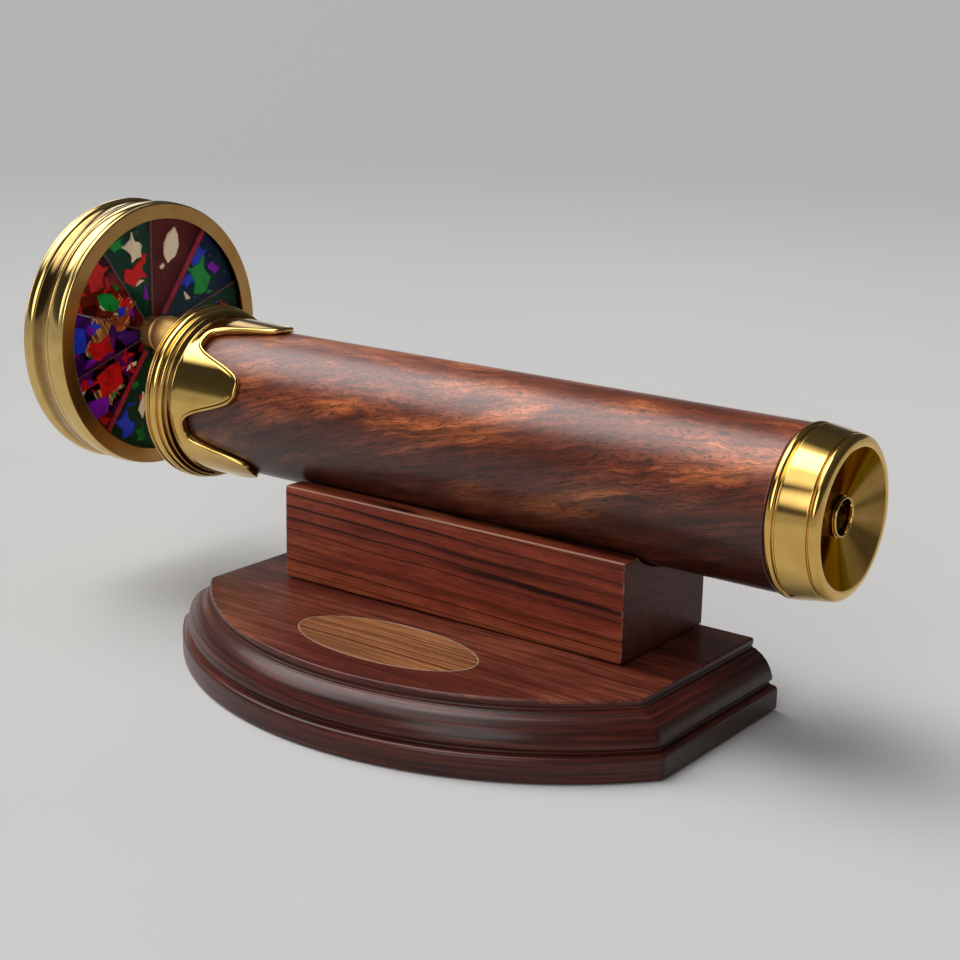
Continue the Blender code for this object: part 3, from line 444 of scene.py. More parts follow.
def brass(name, axis_z, tone, roughness, rings=0.05, brushed=0.0, recess=None, painted_reflection_rays=False):
    """Brass with faint turning marks and slight tarnish, polished or brushed round the axis.

    Grooves are dark up to the first distance from the axis in recess, in mm, and no more beyond
    the second. Painted reflections, rays of lighter and darker colour, spread over a dished face,
    which stays dark at a low angle.
    """
    paint = Paint(name)
    spot = paint.place(axis_z)
    flat = paint.stretch(spot, (0, 1, 1))
    radius = paint.length(flat)
    turning = paint.add("CombineXYZ", {0: paint.part(spot, 0), 1: radius})
    marks = paint.noise(turning, (5, 5, 1), 3, 0.6)
    cloud = paint.cloud(0.09, 4, 0.6)
    tarnish = tuple(part * share for part, share in zip(tone, (0.84, 0.74, 0.58)))
    colour = paint.mix(paint.ramp(cloud, (0.42, 0.0), (0.7, 0.85)), tone, tarnish)
    gloss = paint.ramp(cloud, (0.3, roughness), (0.75, roughness + 0.06))
    if recess:
        deep = paint.times(paint.fade(radius, *recess, 1.0, 0.0),
                           paint.ramp(cloud, (0.25, 0.55), (0.6, 0.85)))
        colour = paint.mix(deep, colour, (0.2, 0.095, 0.026))
    if painted_reflection_rays:
        # Painted reflection: radial wedges of lighter and darker colour over the dish.
        outward = paint.add("VectorMath", {0: flat}, operation="NORMALIZE")
        painted_ray = paint.noise(outward, (1, 1.9, 1.9), 2)
        colour = paint.tint(colour, paint.ramp(painted_ray, (0.34, 0.42), (0.5, 0.85), (0.64, 1.35)))
        paint.set(Specular_Tint=(0.4, 0.29, 0.15))
    if brushed:
        paint.set(Anisotropic=brushed, Anisotropic_Rotation=0.25,
                  Tangent=paint.add("Tangent", {}, direction_type="RADIAL", axis="X"))
    return paint.set(Base_Color=colour, Metallic=1.0, Roughness=gloss,
                     Normal=paint.bump(marks, rings, 0.00003))


def glass_tint(name, colours, patches=0):
    """Dark stained glass: cloudy, or in patches of several colours, with scratches and specks."""
    paint = Paint(name)
    spot = paint.place()
    cloud = paint.noise(spot, (0.1, 0.13, 0.13), 4, 0.6, 0.8)
    if patches:
        bent = paint.noise(spot, (0.2, 0.2, 0.2), 2)
        lean = paint.add("CombineXYZ", {0: 0.0, 1: paint.times(bent, 3.0), 2: bent})
        flat = paint.stretch(paint.plus(spot, lean), (0.01, 1, 1))
        cell = paint.add("TexVoronoi", {"Vector": flat, "Scale": patches}, "Color")
        stops = [(index / len(colours), colour) for index, colour in enumerate(colours)]
        body = paint.ramp(paint.part(cell, 0), *stops)
        body.node.color_ramp.interpolation = "CONSTANT"
        body = paint.tint(body, paint.ramp(cloud, (0.3, 0.45), (0.65, 1.2)))
    else:
        body = paint.mix(paint.ramp(cloud, (0.35, 0.0), (0.7, 1.0)), *colours)
    scratch = paint.noise(spot, (1, 0.1, 3.2), 2, 0.5, 2.0)
    line = paint.ramp(scratch, (0.635, 0.0), (0.65, 0.25), (0.665, 0.0))
    body = paint.mix(line, body, (0.34, 0.26, 0.2))
    speck = paint.ramp(paint.noise(spot, (0.1, 1.3, 1.3), 1), (0.765, 0.0), (0.775, 0.8))
    body = paint.mix(speck, body, (0.7, 0.68, 0.6))
    return paint.set(Base_Color=body, Roughness=0.1, Specular_IOR_Level=0.04,
                     Normal=paint.bump(cloud, 0.15, 0.0003))


def chip_glass(name, colour, glow):
    """Bright coloured glass for the chips, darker in places, with a painted glow of their own."""
    paint = Paint(name)
    cloud = paint.cloud(0.26, 4, 0.65)
    clear_part = paint.ramp(cloud, (0.36, 0.0), (0.52, 1.0))
    body = paint.mix(clear_part, shade(colour, 0.55), colour)
    return paint.set(Base_Color=body, Roughness=0.22, Specular_IOR_Level=0.06,
                     # Painted glow: the chips give off a little light, though they are no lamp.
                     Emission_Color=body, Emission_Strength=glow,
                     Normal=paint.bump(cloud, 0.2, 0.0001))


def streaked_glass(name, turn, colours):
    """Glass drawn out in fine streaks at an angle across the wheel's face, with a painted glow.
    """
    paint = Paint(name)
    streak = paint.noise(paint.spin(paint.place(), turn, "X"), (0.1, 0.12, 2.6), 4, 0.7)
    body = paint.ramp(streak, *zip((0.42, 0.5, 0.56, 0.6, 0.65), colours))
    # Painted glow: the shards give off a little light, though they are no lamp.
    return paint.set(Base_Color=body, Roughness=0.2, Specular_IOR_Level=0.06,
                     Emission_Color=body, Emission_Strength=0.1)


def clear_glass(name):
    """Clear glass: what is behind shows through, under a reflection."""
    paint = Paint(name)
    facing = paint.add("LayerWeight", {"Blend": 0.5}, "Facing")
    edge = paint.times(paint.math("POWER", facing, 5.0), 0.6)
    film = paint.ramp(paint.cloud(0.26, 5, 0.7), (0.45, 0.003), (0.8, 0.01))
    return paint.set(Base_Color=(0.96, 0.98, 0.97), Metallic=1.0, Roughness=0.03,
                     Alpha=paint.math("ADD", film, edge))


def mottled(name, colour, second, roughness, scale, metallic=0.0, bump=0.2):
    """A finely mottled finish for steel, cork, felt, lead came and mirrors."""
    paint = Paint(name)
    cloud = paint.cloud(scale, 5, 0.65)
    body = paint.mix(paint.ramp(cloud, (0.35, 0.0), (0.65, 1.0)), colour, second)
    gloss = paint.ramp(cloud, (0.3, roughness), (0.7, min(1.0, roughness + 0.08)))
    return paint.set(Base_Color=body, Roughness=gloss, Metallic=metallic,
                     Normal=paint.bump(cloud, bump, 0.0001))


# The barrel's wood has painted light on its upper side and painted shade on its lower side.
rosewood = wood(
    "rosewood", ((0.022, 0.006, 0.004), (0.15, 0.04, 0.018), (0.36, 0.13, 0.048)),
    spacing=(3.4, 2.9), drift=9.0, ripple=2.0, edge=(0.6, 0.84), contrast=0.55, flecks=0.8,
    gloss=0.38, coat=0.85, turn=16, move=(30, 14, -30), fibres=(0.52, 1.42), level=0.12,
    coat_rough=0.3, painted_light_from_above=True)
# The block's wood has a painted highlight along its long top edges, and wear on its short ones.
block_wood = wood(
    "block wood", ((0.018, 0.004, 0.003), (0.245, 0.042, 0.02), (0.34, 0.084, 0.034)),
    spacing=(9.0, 3.0), drift=3.0, ripple=0.3, edge=(0.78, 0.88), contrast=1.0, coat=0.0,
    turn=-1.0, move=(20, 13, 31), level=0.15, edge_wear_and_highlight=True)
mahogany = wood(
    "mahogany", ((0.012, 0.003, 0.002), (0.114, 0.02, 0.011), (0.22, 0.056, 0.028)),
    spacing=(2.4, 6.0), drift=5.0, edge=(0.7, 0.88), contrast=0.62, coat=0.32,
    move=(50, 20, -13), level=0.18, coat_rough=0.14, moulding=True)
satinwood = wood(
    "satinwood", ((0.085, 0.026, 0.009), (0.33, 0.125, 0.045), (0.46, 0.2, 0.08)),
    spacing=(1.9, 6.0), drift=4.0, edge=(0.62, 0.85), contrast=0.95, gloss=0.34,
    move=(-20, 3, 20))
boxwood = wood(
    "boxwood", ((0.2, 0.12, 0.07), (0.44, 0.28, 0.18), (0.55, 0.38, 0.26)),
    spacing=(1.2, 6.0), drift=1.0, ripple=0.1, edge=(0.6, 0.8), contrast=0.3, flecks=0.1)

bright_brass = brass("bright brass", AXIS_Z, (0.76, 0.5, 0.15), 0.035)
collar_brass = brass("collar brass", AXIS_Z, (0.77, 0.52, 0.17), 0.035, recess=(20.7, 21.5))
# Painted shade: the dished face's brass is a much darker copy of the bright brass.
dish_brass_painted_dark = brass("dish brass", AXIS_Z, (0.27, 0.17, 0.06), 0.07, brushed=0.8, painted_reflection_rays=True)
wheel_brass = brass("wheel brass", WHEEL_Z, (0.72, 0.51, 0.19), 0.05, rings=0.08,
                    recess=(33.3, 33.85))
satin_brass = brass("satin brass", WHEEL_Z, (0.42, 0.235, 0.08), 0.28, brushed=0.4)
# Painted light: the hub's brass is a brighter copy, making up for the shade it sits in.
hub_brass_painted_light = brass("hub brass", WHEEL_Z, (1.0, 0.68, 0.26), 0.48, rings=0.1)

steel = mottled("steel", (0.52, 0.52, 0.54), (0.42, 0.42, 0.43), 0.26, 0.5, 1.0, 0.1)
cork = mottled("cork", (0.4, 0.24, 0.12), (0.22, 0.12, 0.06), 0.85, 0.7, bump=0.6)
felt = mottled("felt", (0.02, 0.045, 0.03), (0.035, 0.07, 0.048), 0.95, 2.6, bump=0.8)
came = mottled("dark came", (0.15, 0.04, 0.05), (0.34, 0.13, 0.15), 0.35, 0.8)
silver = mottled("mirror", (0.92, 0.93, 0.94), (0.88, 0.89, 0.9), 0.02, 0.06, 1.0, 0.0)

clear = clear_glass("clear glass")
rod_glass = glass_tint("red glass", ((0.48, 0.014, 0.035), (0.66, 0.045, 0.08)))
tints = {kind: glass_tint(kind + " glass", colours, patches) for kind, patches, colours in (
    ("maroon", 0, ((0.12, 0.008, 0.01), (0.21, 0.018, 0.018))),
    ("green", 0, ((0.004, 0.045, 0.022), (0.008, 0.1, 0.045))),
    ("navy", 0, ((0.006, 0.014, 0.11), (0.006, 0.05, 0.04))),
    ("plum", 0.17, (
        (0.11, 0.006, 0.01), (0.24, 0.012, 0.018), (0.055, 0.005, 0.008), (0.3, 0.026, 0.01))),
    ("violet", 0.18, (
        (0.11, 0.014, 0.36), (0.01, 0.004, 0.012), (0.26, 0.016, 0.3), (0.08, 0.01, 0.2))),
    ("crimson", 0.17, (
        (0.5, 0.012, 0.02), (0.012, 0.004, 0.008), (0.19, 0.01, 0.26), (0.3, 0.008, 0.016),
        (0.01, 0.006, 0.01))),
)}
# The number after each colour's name is that chip's painted glow.
chip_colours = {kind: chip_glass(kind + " chip", colour, glow) for kind, glow, colour in (
    ("cream", 0.16, (0.92, 0.72, 0.5)), ("red", 0.08, (0.82, 0.014, 0.014)),
    ("green", 0.08, (0.012, 0.36, 0.05)), ("blue", 0.08, (0.03, 0.065, 0.8)),
    ("violet", 0.08, (0.3, 0.012, 0.56)),
)}
streaks = {kind: streaked_glass(kind + " streaks", turn, colours) for kind, turn, colours in (
    ("amber", 62, (
        (0.04, 0.01, 0.006), (0.42, 0.11, 0.025), (0.9, 0.42, 0.12), (0.98, 0.72, 0.36),
        (0.2, 0.04, 0.01))),
    ("ember", -50, (
        (0.06, 0.008, 0.006), (0.5, 0.06, 0.015), (0.88, 0.2, 0.04), (0.94, 0.46, 0.14),
        (0.16, 0.015, 0.01))),
)}


# Stand

def base_outline(out):
    """The D-shaped outline at a distance out from the base's top edge; the back stays flat."""
    half, corner_radius, bow = BASE_CORNER + out, 0.0022, BOW_RADIUS + out
    corner_x = half - corner_radius
    corner_y = BOW_CENTRE_Y - math.sqrt((bow - corner_radius) ** 2 - corner_x ** 2)
    meet = math.degrees(math.atan2(corner_y - BOW_CENTRE_Y, corner_x))
    left = arc(-corner_x, corner_y, corner_radius, -180, -180 - meet, steps=10)
    front = arc(0, BOW_CENTRE_Y, bow, -180 - meet, meet, steps=96)
    right = arc(corner_x, corner_y, corner_radius, meet, 0, steps=10)
    return [(-half, BACK_Y)] + left + front[1:-1] + right + [(half, BACK_Y)]


def inset_outline(inset):
    """The base's widest outline, drawn in on every side."""
    return [(x, min(y, BACK_Y - inset)) for x, y in base_outline(BASE_OVERHANG - inset)]


def inlay_outline(length):
    """An oval of a length, which is always the same amount less in depth."""
    steps = 160
    degrees = [360 * step / steps for step in range(steps)]
    return oval_arc(0, INLAY_Y, length / 2, (length - INLAY_NARROWER) / 2, degrees)


def add_pocket(shape, face_ring, outline, opening, floor):
    """Adds a pocket, and the flat face between its opening and a ring of vertices."""
    wall = add_loops(shape, [at_height(outline, z) for z in (opening, floor)], wrap=False)
    edges = []
    for ring in (face_ring, wall[0]):
        edges += [shape.edges.get(pair) or shape.edges.new(pair)
                  for pair in zip(ring, ring[1:] + ring[:1])]
    bmesh.ops.triangle_fill(shape, edges=edges, use_beauty=True)
    shape.faces.new(wall[1])


def build_base():
    """The moulded base, with pockets for the inlay in its top and the felt below."""
    profile = relief(0, BASE_OVERHANG, BASE_TOP, BASE_LOW - BASE_TOP, 0.0006, (
        (0, 0), (70, 0), (110, 26), (110, 88), (85, 100), (85, 142), (215, 152), (245, 170),
        (430, 218), (610, 308), (740, 414), (810, 520), (810, 568), (720, 590), (720, 632),
        (940, 646), (1000, 686), (1000, 975), (960, 1000)), steps=4)
    shape = bmesh.new()
    loops = [at_height(base_outline(out), z) for out, z in profile]
    rings = add_loops(shape, loops, wrap=False)
    add_pocket(shape, rings[0], inlay_outline(INLAY_POCKET), BASE_TOP, BASE_TOP - 0.0012)
    add_pocket(shape, rings[-1], inset_outline(0.0017), BASE_LOW, BASE_LOW + FELT_THICK)
    finish_piece("base_body", shape, [mahogany], "stand", ["base"])


def build_felt():
    """The felt sheet in its pocket under the base, with soft and slightly uneven edges."""
    cut = inset_outline(FELT_INSET)
    middle = Vector((0, -0.022))
    fuzz = [random.uniform(-0.00012, 0.00004) for _ in cut]
    loops = []
    for z, pull in ((0, 0.00035), (0.00012, 0.0001), (0.0004, 0), (FELT_THICK - 0.0004, 0),
                    (FELT_THICK - 0.00012, 0.0001), (FELT_THICK, 0.00035)):
        loop = []
        for (x, y), loose in zip(cut, fuzz):
            inward = (middle - Vector((x, y))).normalized() * (pull - loose + 0.00004)
            loop.append((x + inward.x, y + inward.y, z))
        loops.append(loop)
    shape = bmesh.new()
    add_bar(shape, loops)
    sheet = finish_piece("felt_sheet", shape, [felt], "stand", ["base_felt"])


def build_inlay():
    """The oval panel in the base's top, with the thin pale line round it."""
    low, proud, bevel = BASE_TOP - 0.0009, BASE_TOP + 0.00003, 0.00008
    line = bmesh.new()
    add_loops(line, [at_height(inlay_outline(length), z) for length, z in (
        (INLAY_OUTER, low), (INLAY_OUTER, proud), (INLAY_INNER, proud), (INLAY_INNER, low))])
    finish_piece("inlay_line", line, [boxwood], "stand", ["inlay_stringing"])
    panel = bmesh.new()
    full = INLAY_INNER - 0.0001
    add_bar(panel, [at_height(inlay_outline(length), z) for length, z in (
        (full, low), (full, BASE_TOP - bevel), (full - 2 * bevel, BASE_TOP))])
    finish_piece("inlay_oval", panel, [satinwood], "stand", ["inlay_panel"])


def build_block():
    """The cradle block, with its groove and small rounded edges."""
    spread = math.degrees(math.acos((AXIS_Z - BLOCK_TOP) / SLEEVE_RADIUS))
    groove = arc(0, AXIS_Z, SLEEVE_RADIUS, -90 + spread, -90 - spread, steps=48)
    outline = [(-BACK_Y, BLOCK_LOW), (BACK_Y, BLOCK_LOW), (BACK_Y, BLOCK_TOP)] + groove
    outline = soften(outline + [(-BACK_Y, BLOCK_TOP)], 0.0005)
    end = [(-BLOCK_HALF + shift, pull) for shift, pull in
           ((0, 0.0005), (0.0001, 0.00022), (0.0003, 0.00006), (0.0006, 0))]
    parts = 24
    layers = end + [(-BLOCK_HALF + 2 * BLOCK_HALF * part / parts, 0) for part in range(1, parts)]
    layers += [(-x, pull) for x, pull in reversed(end)]
    middle, corner = (BLOCK_LOW + BLOCK_TOP) / 2, 0.001
    loops = []
    for x, pull in layers:
        loop = []
        for y, z in outline:
            if abs(y) < BACK_Y - corner and z > BLOCK_LOW + corner:
                inward = Vector((y, z - AXIS_Z)).normalized() * pull
                loop.append((x, y + inward.x, z + inward.y))
            else:
                loop.append((x, y - math.copysign(pull, y), z - math.copysign(pull, z - middle)))
        loops.append(loop)
    shape = bmesh.new()
    add_bar(shape, loops)
    finish_piece("block_body", shape, [block_wood], "stand", ["cradle_block"])


# Scope

def build_barrel():
    """The wooden tube, turned down to a tenon in the cap."""
    shoulder = CAP_LEFT - 0.0003
    profile = [(BARREL_LEFT, BARREL_RADIUS), (shoulder, BARREL_RADIUS), (shoulder, TENON_RADIUS),
               (BARREL_RIGHT, TENON_RADIUS), (BARREL_RIGHT, BORE_RADIUS),
               (BARREL_LEFT, BORE_RADIUS)]
    turned("barrel_tube", soften(profile, 0.0004), [rosewood], "scope", ["barrel"],
           steps=256)


def crown_edge(angle):
    """How far along X the crown reaches at an angle, in rounded lobes and valleys."""
    wave = (1 + math.cos(LOBES * (angle - FIRST_LOBE))) / 2
    swell = wave ** 0.9
    return CROWN_VALLEY + LOBE_LENGTH * swell * swell * (3 - 2 * swell)


def build_crown():
    """The ribbed collar and its lobes, whose beaded edge stands off the wood."""
    body = 0.0199
    bands = relief(COLLAR_LEFT, CROWN_START - COLLAR_LEFT, body, 0.0024, 0.00022, (
        (0, 620), (20, 860), (50, 940), (110, 940), (130, 700), (160, 660), (190, 820),
        (250, 930), (340, 1000), (430, 960), (500, 840), (530, 520), (570, 480), (600, 720),
        (640, 790), (710, 790), (750, 680), (780, 340), (820, 320), (850, 480), (890, 510),
        (930, 400), (960, 80), (1000, 0)))
    rows, edge, reach, tip = 14, 0.0012, 0.0201, 0.0193
    angles = full_turn(720)

    def skin(x):
        """The crown's outer radius, which falls a little towards the lobes' tips."""
        share = max(0.0, (x - CROWN_START) / reach)
        return body + (tip - body) * share

    def inward(angle):
        """The direction in the crown's skin that leads squarely in from its edge."""
        step = 0.002
        slope = (crown_edge(angle + step) - crown_edge(angle - step)) / (2 * step * tip)
        size = math.hypot(1, slope)
        return -1 / size, slope / size

    def row(share, back):
        """(x, angle) between the crown's start and its edge, a distance back from the edge."""
        points = []
        for angle in angles:
            along, aside = inward(angle)
            x = CROWN_START + (crown_edge(angle) + along * back - CROWN_START) * share
            points.append((x, angle + aside * back / tip * share))
        return points

    def on_skin(points, lift=0.0):
        return [around(x, skin(x) + lift, a) for x, a in points]

    def level(x, radius):
        return [around(x, radius, a) for a in angles]

    loops = [level(x, radius) for x, radius in bands]
    loops += [on_skin(row(step / rows, edge)) for step in range(1, rows + 1)]
    bead = ((0.001, -0.00005), (0.00086, -0.00004), (0.00076, 0.00006), (0.00062, 0.00013),
            (0.00046, 0.00016), (0.0003, 0.00012), (0.00016, 0.00001), (0.00006, -0.00016),
            (0.0, -0.0004))
    loops += [on_skin(row(1, back), lift) for back, lift in bead]
    inner = SLEEVE_RADIUS - 0.0001
    for back, radius in ((0, inner + 0.0002), (0.0002, inner)):
        loops.append([around(x, radius, a) for x, a in row(1, back)])
    start = BARREL_LEFT - 0.0003
    for x, radius in ((CROWN_START, inner), (start, inner), (start, BORE_RADIUS),
                      (PLATE_SEAT, BORE_RADIUS), (PLATE_SEAT, PLATE_SEAT_RADIUS),
                      (COLLAR_LEFT, PLATE_SEAT_RADIUS)):
        loops.append(level(x, radius))
    shape = bmesh.new()
    add_loops(shape, loops, paint=lambda middle: int(middle.x < CROWN_START))
    finish_piece("crown", shape, [bright_brass, collar_brass], "scope", ["crown_collar"],
                 sharp=50)


def build_cap():
    """The tapered cap with its bead, rounded shoulder and dished face, and the eyelet in it."""
    span = CAP_RIGHT - CAP_LEFT
    crest, low, bore = 0.0185, 0.0181, 0.0171
    hole, dish_inner, dish_outer = 0.004, 0.0044, 0.0149
    lip, back, dip = CAP_RIGHT - 0.0002, CAP_DISH - 0.0001, 1.12
    outline = [(CAP_LEFT, low - 0.0002)]
    outline += oval_arc(CAP_LEFT + span * 0.075, low - 0.0001, span * 0.075, 0.0006,
                        range(170, 9, -20))
    outline += [(CAP_LEFT + span * along, radius) for along, radius in
                ((0.16, low - 0.0003), (0.19, low - 0.0003), (0.2, crest - 0.0003),
                 (0.225, crest), (0.78, 0.01752), (0.795, 0.01738), (0.8, 0.017),
                 (0.815, 0.01695), (0.822, 0.01715), (0.838, 0.01735), (0.86, 0.01742))]
    start = CAP_LEFT + span * 0.86
    outline += oval_arc(start, 0.0153, CAP_RIGHT - start, 0.00212, range(75, -1, -15))
    outline.append((lip, dish_outer))
    for share in (0.75, 0.5, 0.25):
        outline.append((lip - (lip - CAP_DISH) * (1 - share ** dip),
                        dish_inner + (dish_outer - dish_inner) * share))
    outline += [(CAP_DISH, dish_inner), (CAP_DISH, hole), (CAP_WALL, hole),
                (CAP_WALL, bore), (CAP_LEFT, bore)]
    turned("cap", soften(outline, 0.00012, steps=2), [bright_brass, dish_brass_painted_dark], "scope",
           ["eye_cap"], steps=256,
           paint=lambda x, radius: int(dish_inner < radius < dish_outer - 0.00005 and x > back))
    peep, tube, flange = 0.0036, 0.0039, 0.0042
    ring = [(CAP_WALL, peep), (CAP_WALL, tube), (back, tube), (back, flange)]
    ring += oval_arc(CAP_DISH + 0.0004, 0.00405, 0.0004, 0.00028, range(90, -91, -20))
    turned("eyelet_ring", ring + [(CAP_DISH, peep)], [bright_brass], "scope", ["eyelet"],
           steps=96)


# Wheel

def build_rim():
    """The drum: from its face a bead, a broad rib, fine lines, a cove and the back rib."""
    outer = relief(WHEEL_FACE, WHEEL_BACK - WHEEL_FACE, 0.0332, 0.0011, 0.0003, (
        (0, 450), (15, 680), (40, 800), (65, 780), (80, 580), (90, 540), (105, 720), (140, 900),
        (200, 1000), (270, 970), (330, 820), (375, 600), (390, 380), (402, 380), (415, 560),
        (440, 600), (465, 500), (478, 280), (490, 260), (505, 340), (560, 160), (640, 80),
        (710, 120), (760, 280), (775, 300), (788, 540), (820, 800), (860, 940), (900, 950),
        (935, 820), (948, 620), (958, 620), (970, 720), (985, 600), (1000, 350)))
    lip, edge = WHEEL_FACE - 0.0006, OPENING_RADIUS + 0.0003
    inner = [(WHEEL_BACK, CAVITY_RADIUS), (lip, CAVITY_RADIUS), (lip, OPENING_RADIUS),
             (WHEEL_FACE - 0.00012, OPENING_RADIUS), (WHEEL_FACE, edge)]
    turned("rim", outer + inner, [wheel_brass, satin_brass], "wheel", ["wheel_rim"],
           288, lambda x, radius: int(x > WHEEL_FACE - 0.00006 and radius > edge))
    bezel = [(CLAMP_RIGHT, OPENING_RADIUS), (CLAMP_RIGHT, GLASS_RADIUS),
             (BEZEL_LEFT, GLASS_RADIUS), (BEZEL_LEFT, OPENING_RADIUS)]
    turned("rear_bezel", soften(bezel, 0.0004), [wheel_brass], "wheel", ["back_bezel"])


def build_glass():
    """The clear discs in front of the chips and behind the sectors."""
    for name, node, right in (("glass_front", "front_glass", FRONT_GLASS_RIGHT),
                              ("glass_rear", "rear_glass", REAR_GLASS_RIGHT)):
        left = right - GLASS_THICK
        profile = [(right, GLASS_HOLE_RADIUS), (right, GLASS_RADIUS), (left, GLASS_RADIUS),
                   (left, GLASS_HOLE_RADIUS)]
        turned(name, soften(profile, 0.00012, steps=2), [clear], "wheel", [node])


def build_hub():
    """The boss and its flared neck, with the tube that runs through the glass."""
    bore, tube, flange = 0.0026, 0.004, 0.0068
    outline = [(-0.0924, bore), (-0.0924, 0.0035), (-0.0975, 0.0036), (-0.099, 0.0038),
               (-0.1004, 0.0042), (-0.1018, 0.0047), (-0.103, 0.005), (-0.1042, 0.0051),
               (-0.1052, 0.0049), (-0.1058, 0.0045), (-0.1064, 0.0045), (-0.107, 0.0048),
               (-0.107, tube), (HUB_LEFT, tube), (HUB_LEFT, bore)]
    turned("hub", soften(outline, 0.0004), [hub_brass_painted_light], "wheel", ["wheel_hub"], 96)
    ring = [(CLAMP_RIGHT, GLASS_HOLE_RADIUS), (CLAMP_RIGHT, flange), (HUB_LEFT, flange),
            (HUB_LEFT, GLASS_HOLE_RADIUS)]
    turned("rear_flange", soften(ring, 0.0005), [hub_brass_painted_light], "wheel", ["hub_flange"], 96)


# The joints that have a rod: its piece and node
RODS = {0: ("rod_upper", "divider_rod_upper"), 5: ("rod_lower", "divider_rod_lower")}


def joint(index):
    """A turn about the wheel's axis, from the direction of Y to a joint between sectors."""
    turn = Matrix.Rotation(FIRST_DIVIDER + index * SECTOR_ANGLE, 4, "X")
    return Matrix.Translation((0, 0, WHEEL_Z)) @ turn


def build_dividers():
    """The thin lead lines over the joints between sectors, where there is no rod."""
    shoulder, front = CHIP_BACK + 0.0003, CHIP_BACK + 0.0005
    section = ((CHIP_BACK, -1), (shoulder, -1), (front, -0.5), (front, 0.5), (shoulder, 1),
               (CHIP_BACK, 1))
    widths = ((0.005, 0.00012), (0.012, 0.00014), (0.022, 0.00016), (DIVIDER_END, 0.00017))
    shape = bmesh.new()
    for index in range(SECTORS):
        if index not in RODS:
            add_bar(shape, [[joint(index) @ Vector((x, radius, half * aside))
                             for x, aside in section] for radius, half in widths])
    finish_piece("dividers", shape, [came], "wheel", ["divider_frame"])


def build_rods():
    """The two thick red glass rods over the other joints."""
    start = 0.0055
    profile = soften([(start, 0.0), (start, ROD_RADIUS), (DIVIDER_END, ROD_RADIUS),
                      (DIVIDER_END, 0.0)], 0.0003)
    for index, (name, node) in RODS.items():
        shape = bmesh.new()
        add_turned(shape, profile, 0, 32)
        lie = Matrix.Translation((ROD_X, 0, 0)) @ joint(index)
        lie = lie @ Matrix.Rotation(math.pi / 2, 4, "Z")
        bmesh.ops.transform(shape, matrix=lie, verts=shape.verts)
        finish_piece(name, shape, [rod_glass], "wheel", [node])


# Outlines of the chips, one unit long
SHARD = ((-0.5, -0.06), (-0.2, -0.38), (0.16, -0.22), (0.5, -0.34), (0.36, 0.06),
         (0.44, 0.36), (-0.06, 0.22), (-0.36, 0.38))
PETAL = ((-0.5, 0.0), (-0.3, -0.2), (0.0, -0.28), (0.3, -0.18), (0.5, 0.0),
         (0.3, 0.18), (0.0, 0.28), (-0.3, 0.2))
SLIVER = ((-0.5, -0.08), (0.35, -0.16), (0.5, 0.02), (-0.2, 0.14))
SPLINTER = ((-0.5, -0.16), (0.5, -0.04), (-0.26, 0.26))
QUAD = ((-0.46, -0.24), (0.3, -0.36), (0.5, 0.16), (-0.26, 0.32))

# Chips: colour, sector, percent of the opening's radius, of the sector's angle and of a chip's
# length, turn in degrees and outline
CHIPS = (
    ("cream", 0, 78, 50, 95, 75, PETAL), ("cream", 1, 78, 42, 70, 130, SHARD),
    ("red", 1, 56, 55, 75, 20, SHARD), ("red", 2, 84, 34, 85, 60, SHARD),
    ("green", 2, 60, 58, 80, 150, PETAL), ("blue", 3, 86, 42, 80, 100, QUAD),
    ("red", 3, 60, 66, 75, 15, SHARD), ("violet", 4, 86, 62, 80, 20, QUAD),
    ("red", 4, 62, 42, 105, 35, QUAD), ("blue", 5, 84, 32, 70, 120, SHARD),
    ("cream", 5, 64, 62, 70, 80, SLIVER), ("green", 6, 76, 50, 85, 70, SHARD),
    ("red", 7, 72, 50, 90, 100, PETAL), ("blue", 8, 76, 44, 95, 30, PETAL),
    ("green", 9, 72, 52, 95, 110, SHARD),
)
# Thin scraps of glass between the chips, laid flat on the sectors
SCRAPS = (
    ("green", 1, 88, 72, 42, 10, SHARD), ("red", 1, 66, 20, 30, 80, SHARD),
    ("cream", 0, 58, 62, 16, 30, SHARD), ("cream", 9, 50, 45, 18, 140, SLIVER),
    ("blue", 9, 84, 78, 62, 60, SHARD), ("blue", 9, 60, 70, 50, 20, SHARD),
    ("red", 2, 93, 74, 48, 20, SHARD), ("red", 2, 70, 28, 42, 110, SLIVER),
    ("violet", 3, 93, 16, 40, 70, SHARD), ("blue", 3, 68, 20, 42, 30, SHARD),
    ("violet", 3, 72, 84, 60, 30, SLIVER), ("cream", 4, 90, 24, 40, 60, SLIVER),
    ("red", 4, 80, 22, 80, 10, SPLINTER), ("red", 4, 90, 86, 55, 160, SPLINTER),
    ("green", 4, 66, 78, 30, 40, SLIVER), ("blue", 5, 66, 30, 34, 10, SLIVER),
    ("green", 5, 90, 70, 40, 100, SHARD), ("blue", 6, 60, 35, 40, 60, SHARD),
    ("cream", 6, 88, 30, 26, 20, SLIVER), ("violet", 7, 88, 30, 45, 120, SHARD),
    ("green", 7, 52, 60, 35, 30, SHARD), ("red", 8, 88, 70, 40, 150, SHARD),
    ("cream", 8, 56, 30, 24, 70, SLIVER), ("violet", 8, 60, 72, 36, 10, SHARD),
)
# More scraps, strewn at random with these odds
STREWN = 56
SCRAP_COLOURS = "cream red red red green blue violet violet".split()
SCRAP_SECTORS = (1, 2, 2, 2, 3, 3, 3, 4, 4, 4, 5, 6, 7, 8, 9)
SCRAP_OUTLINES = (QUAD, SLIVER, SPLINTER, SPLINTER)
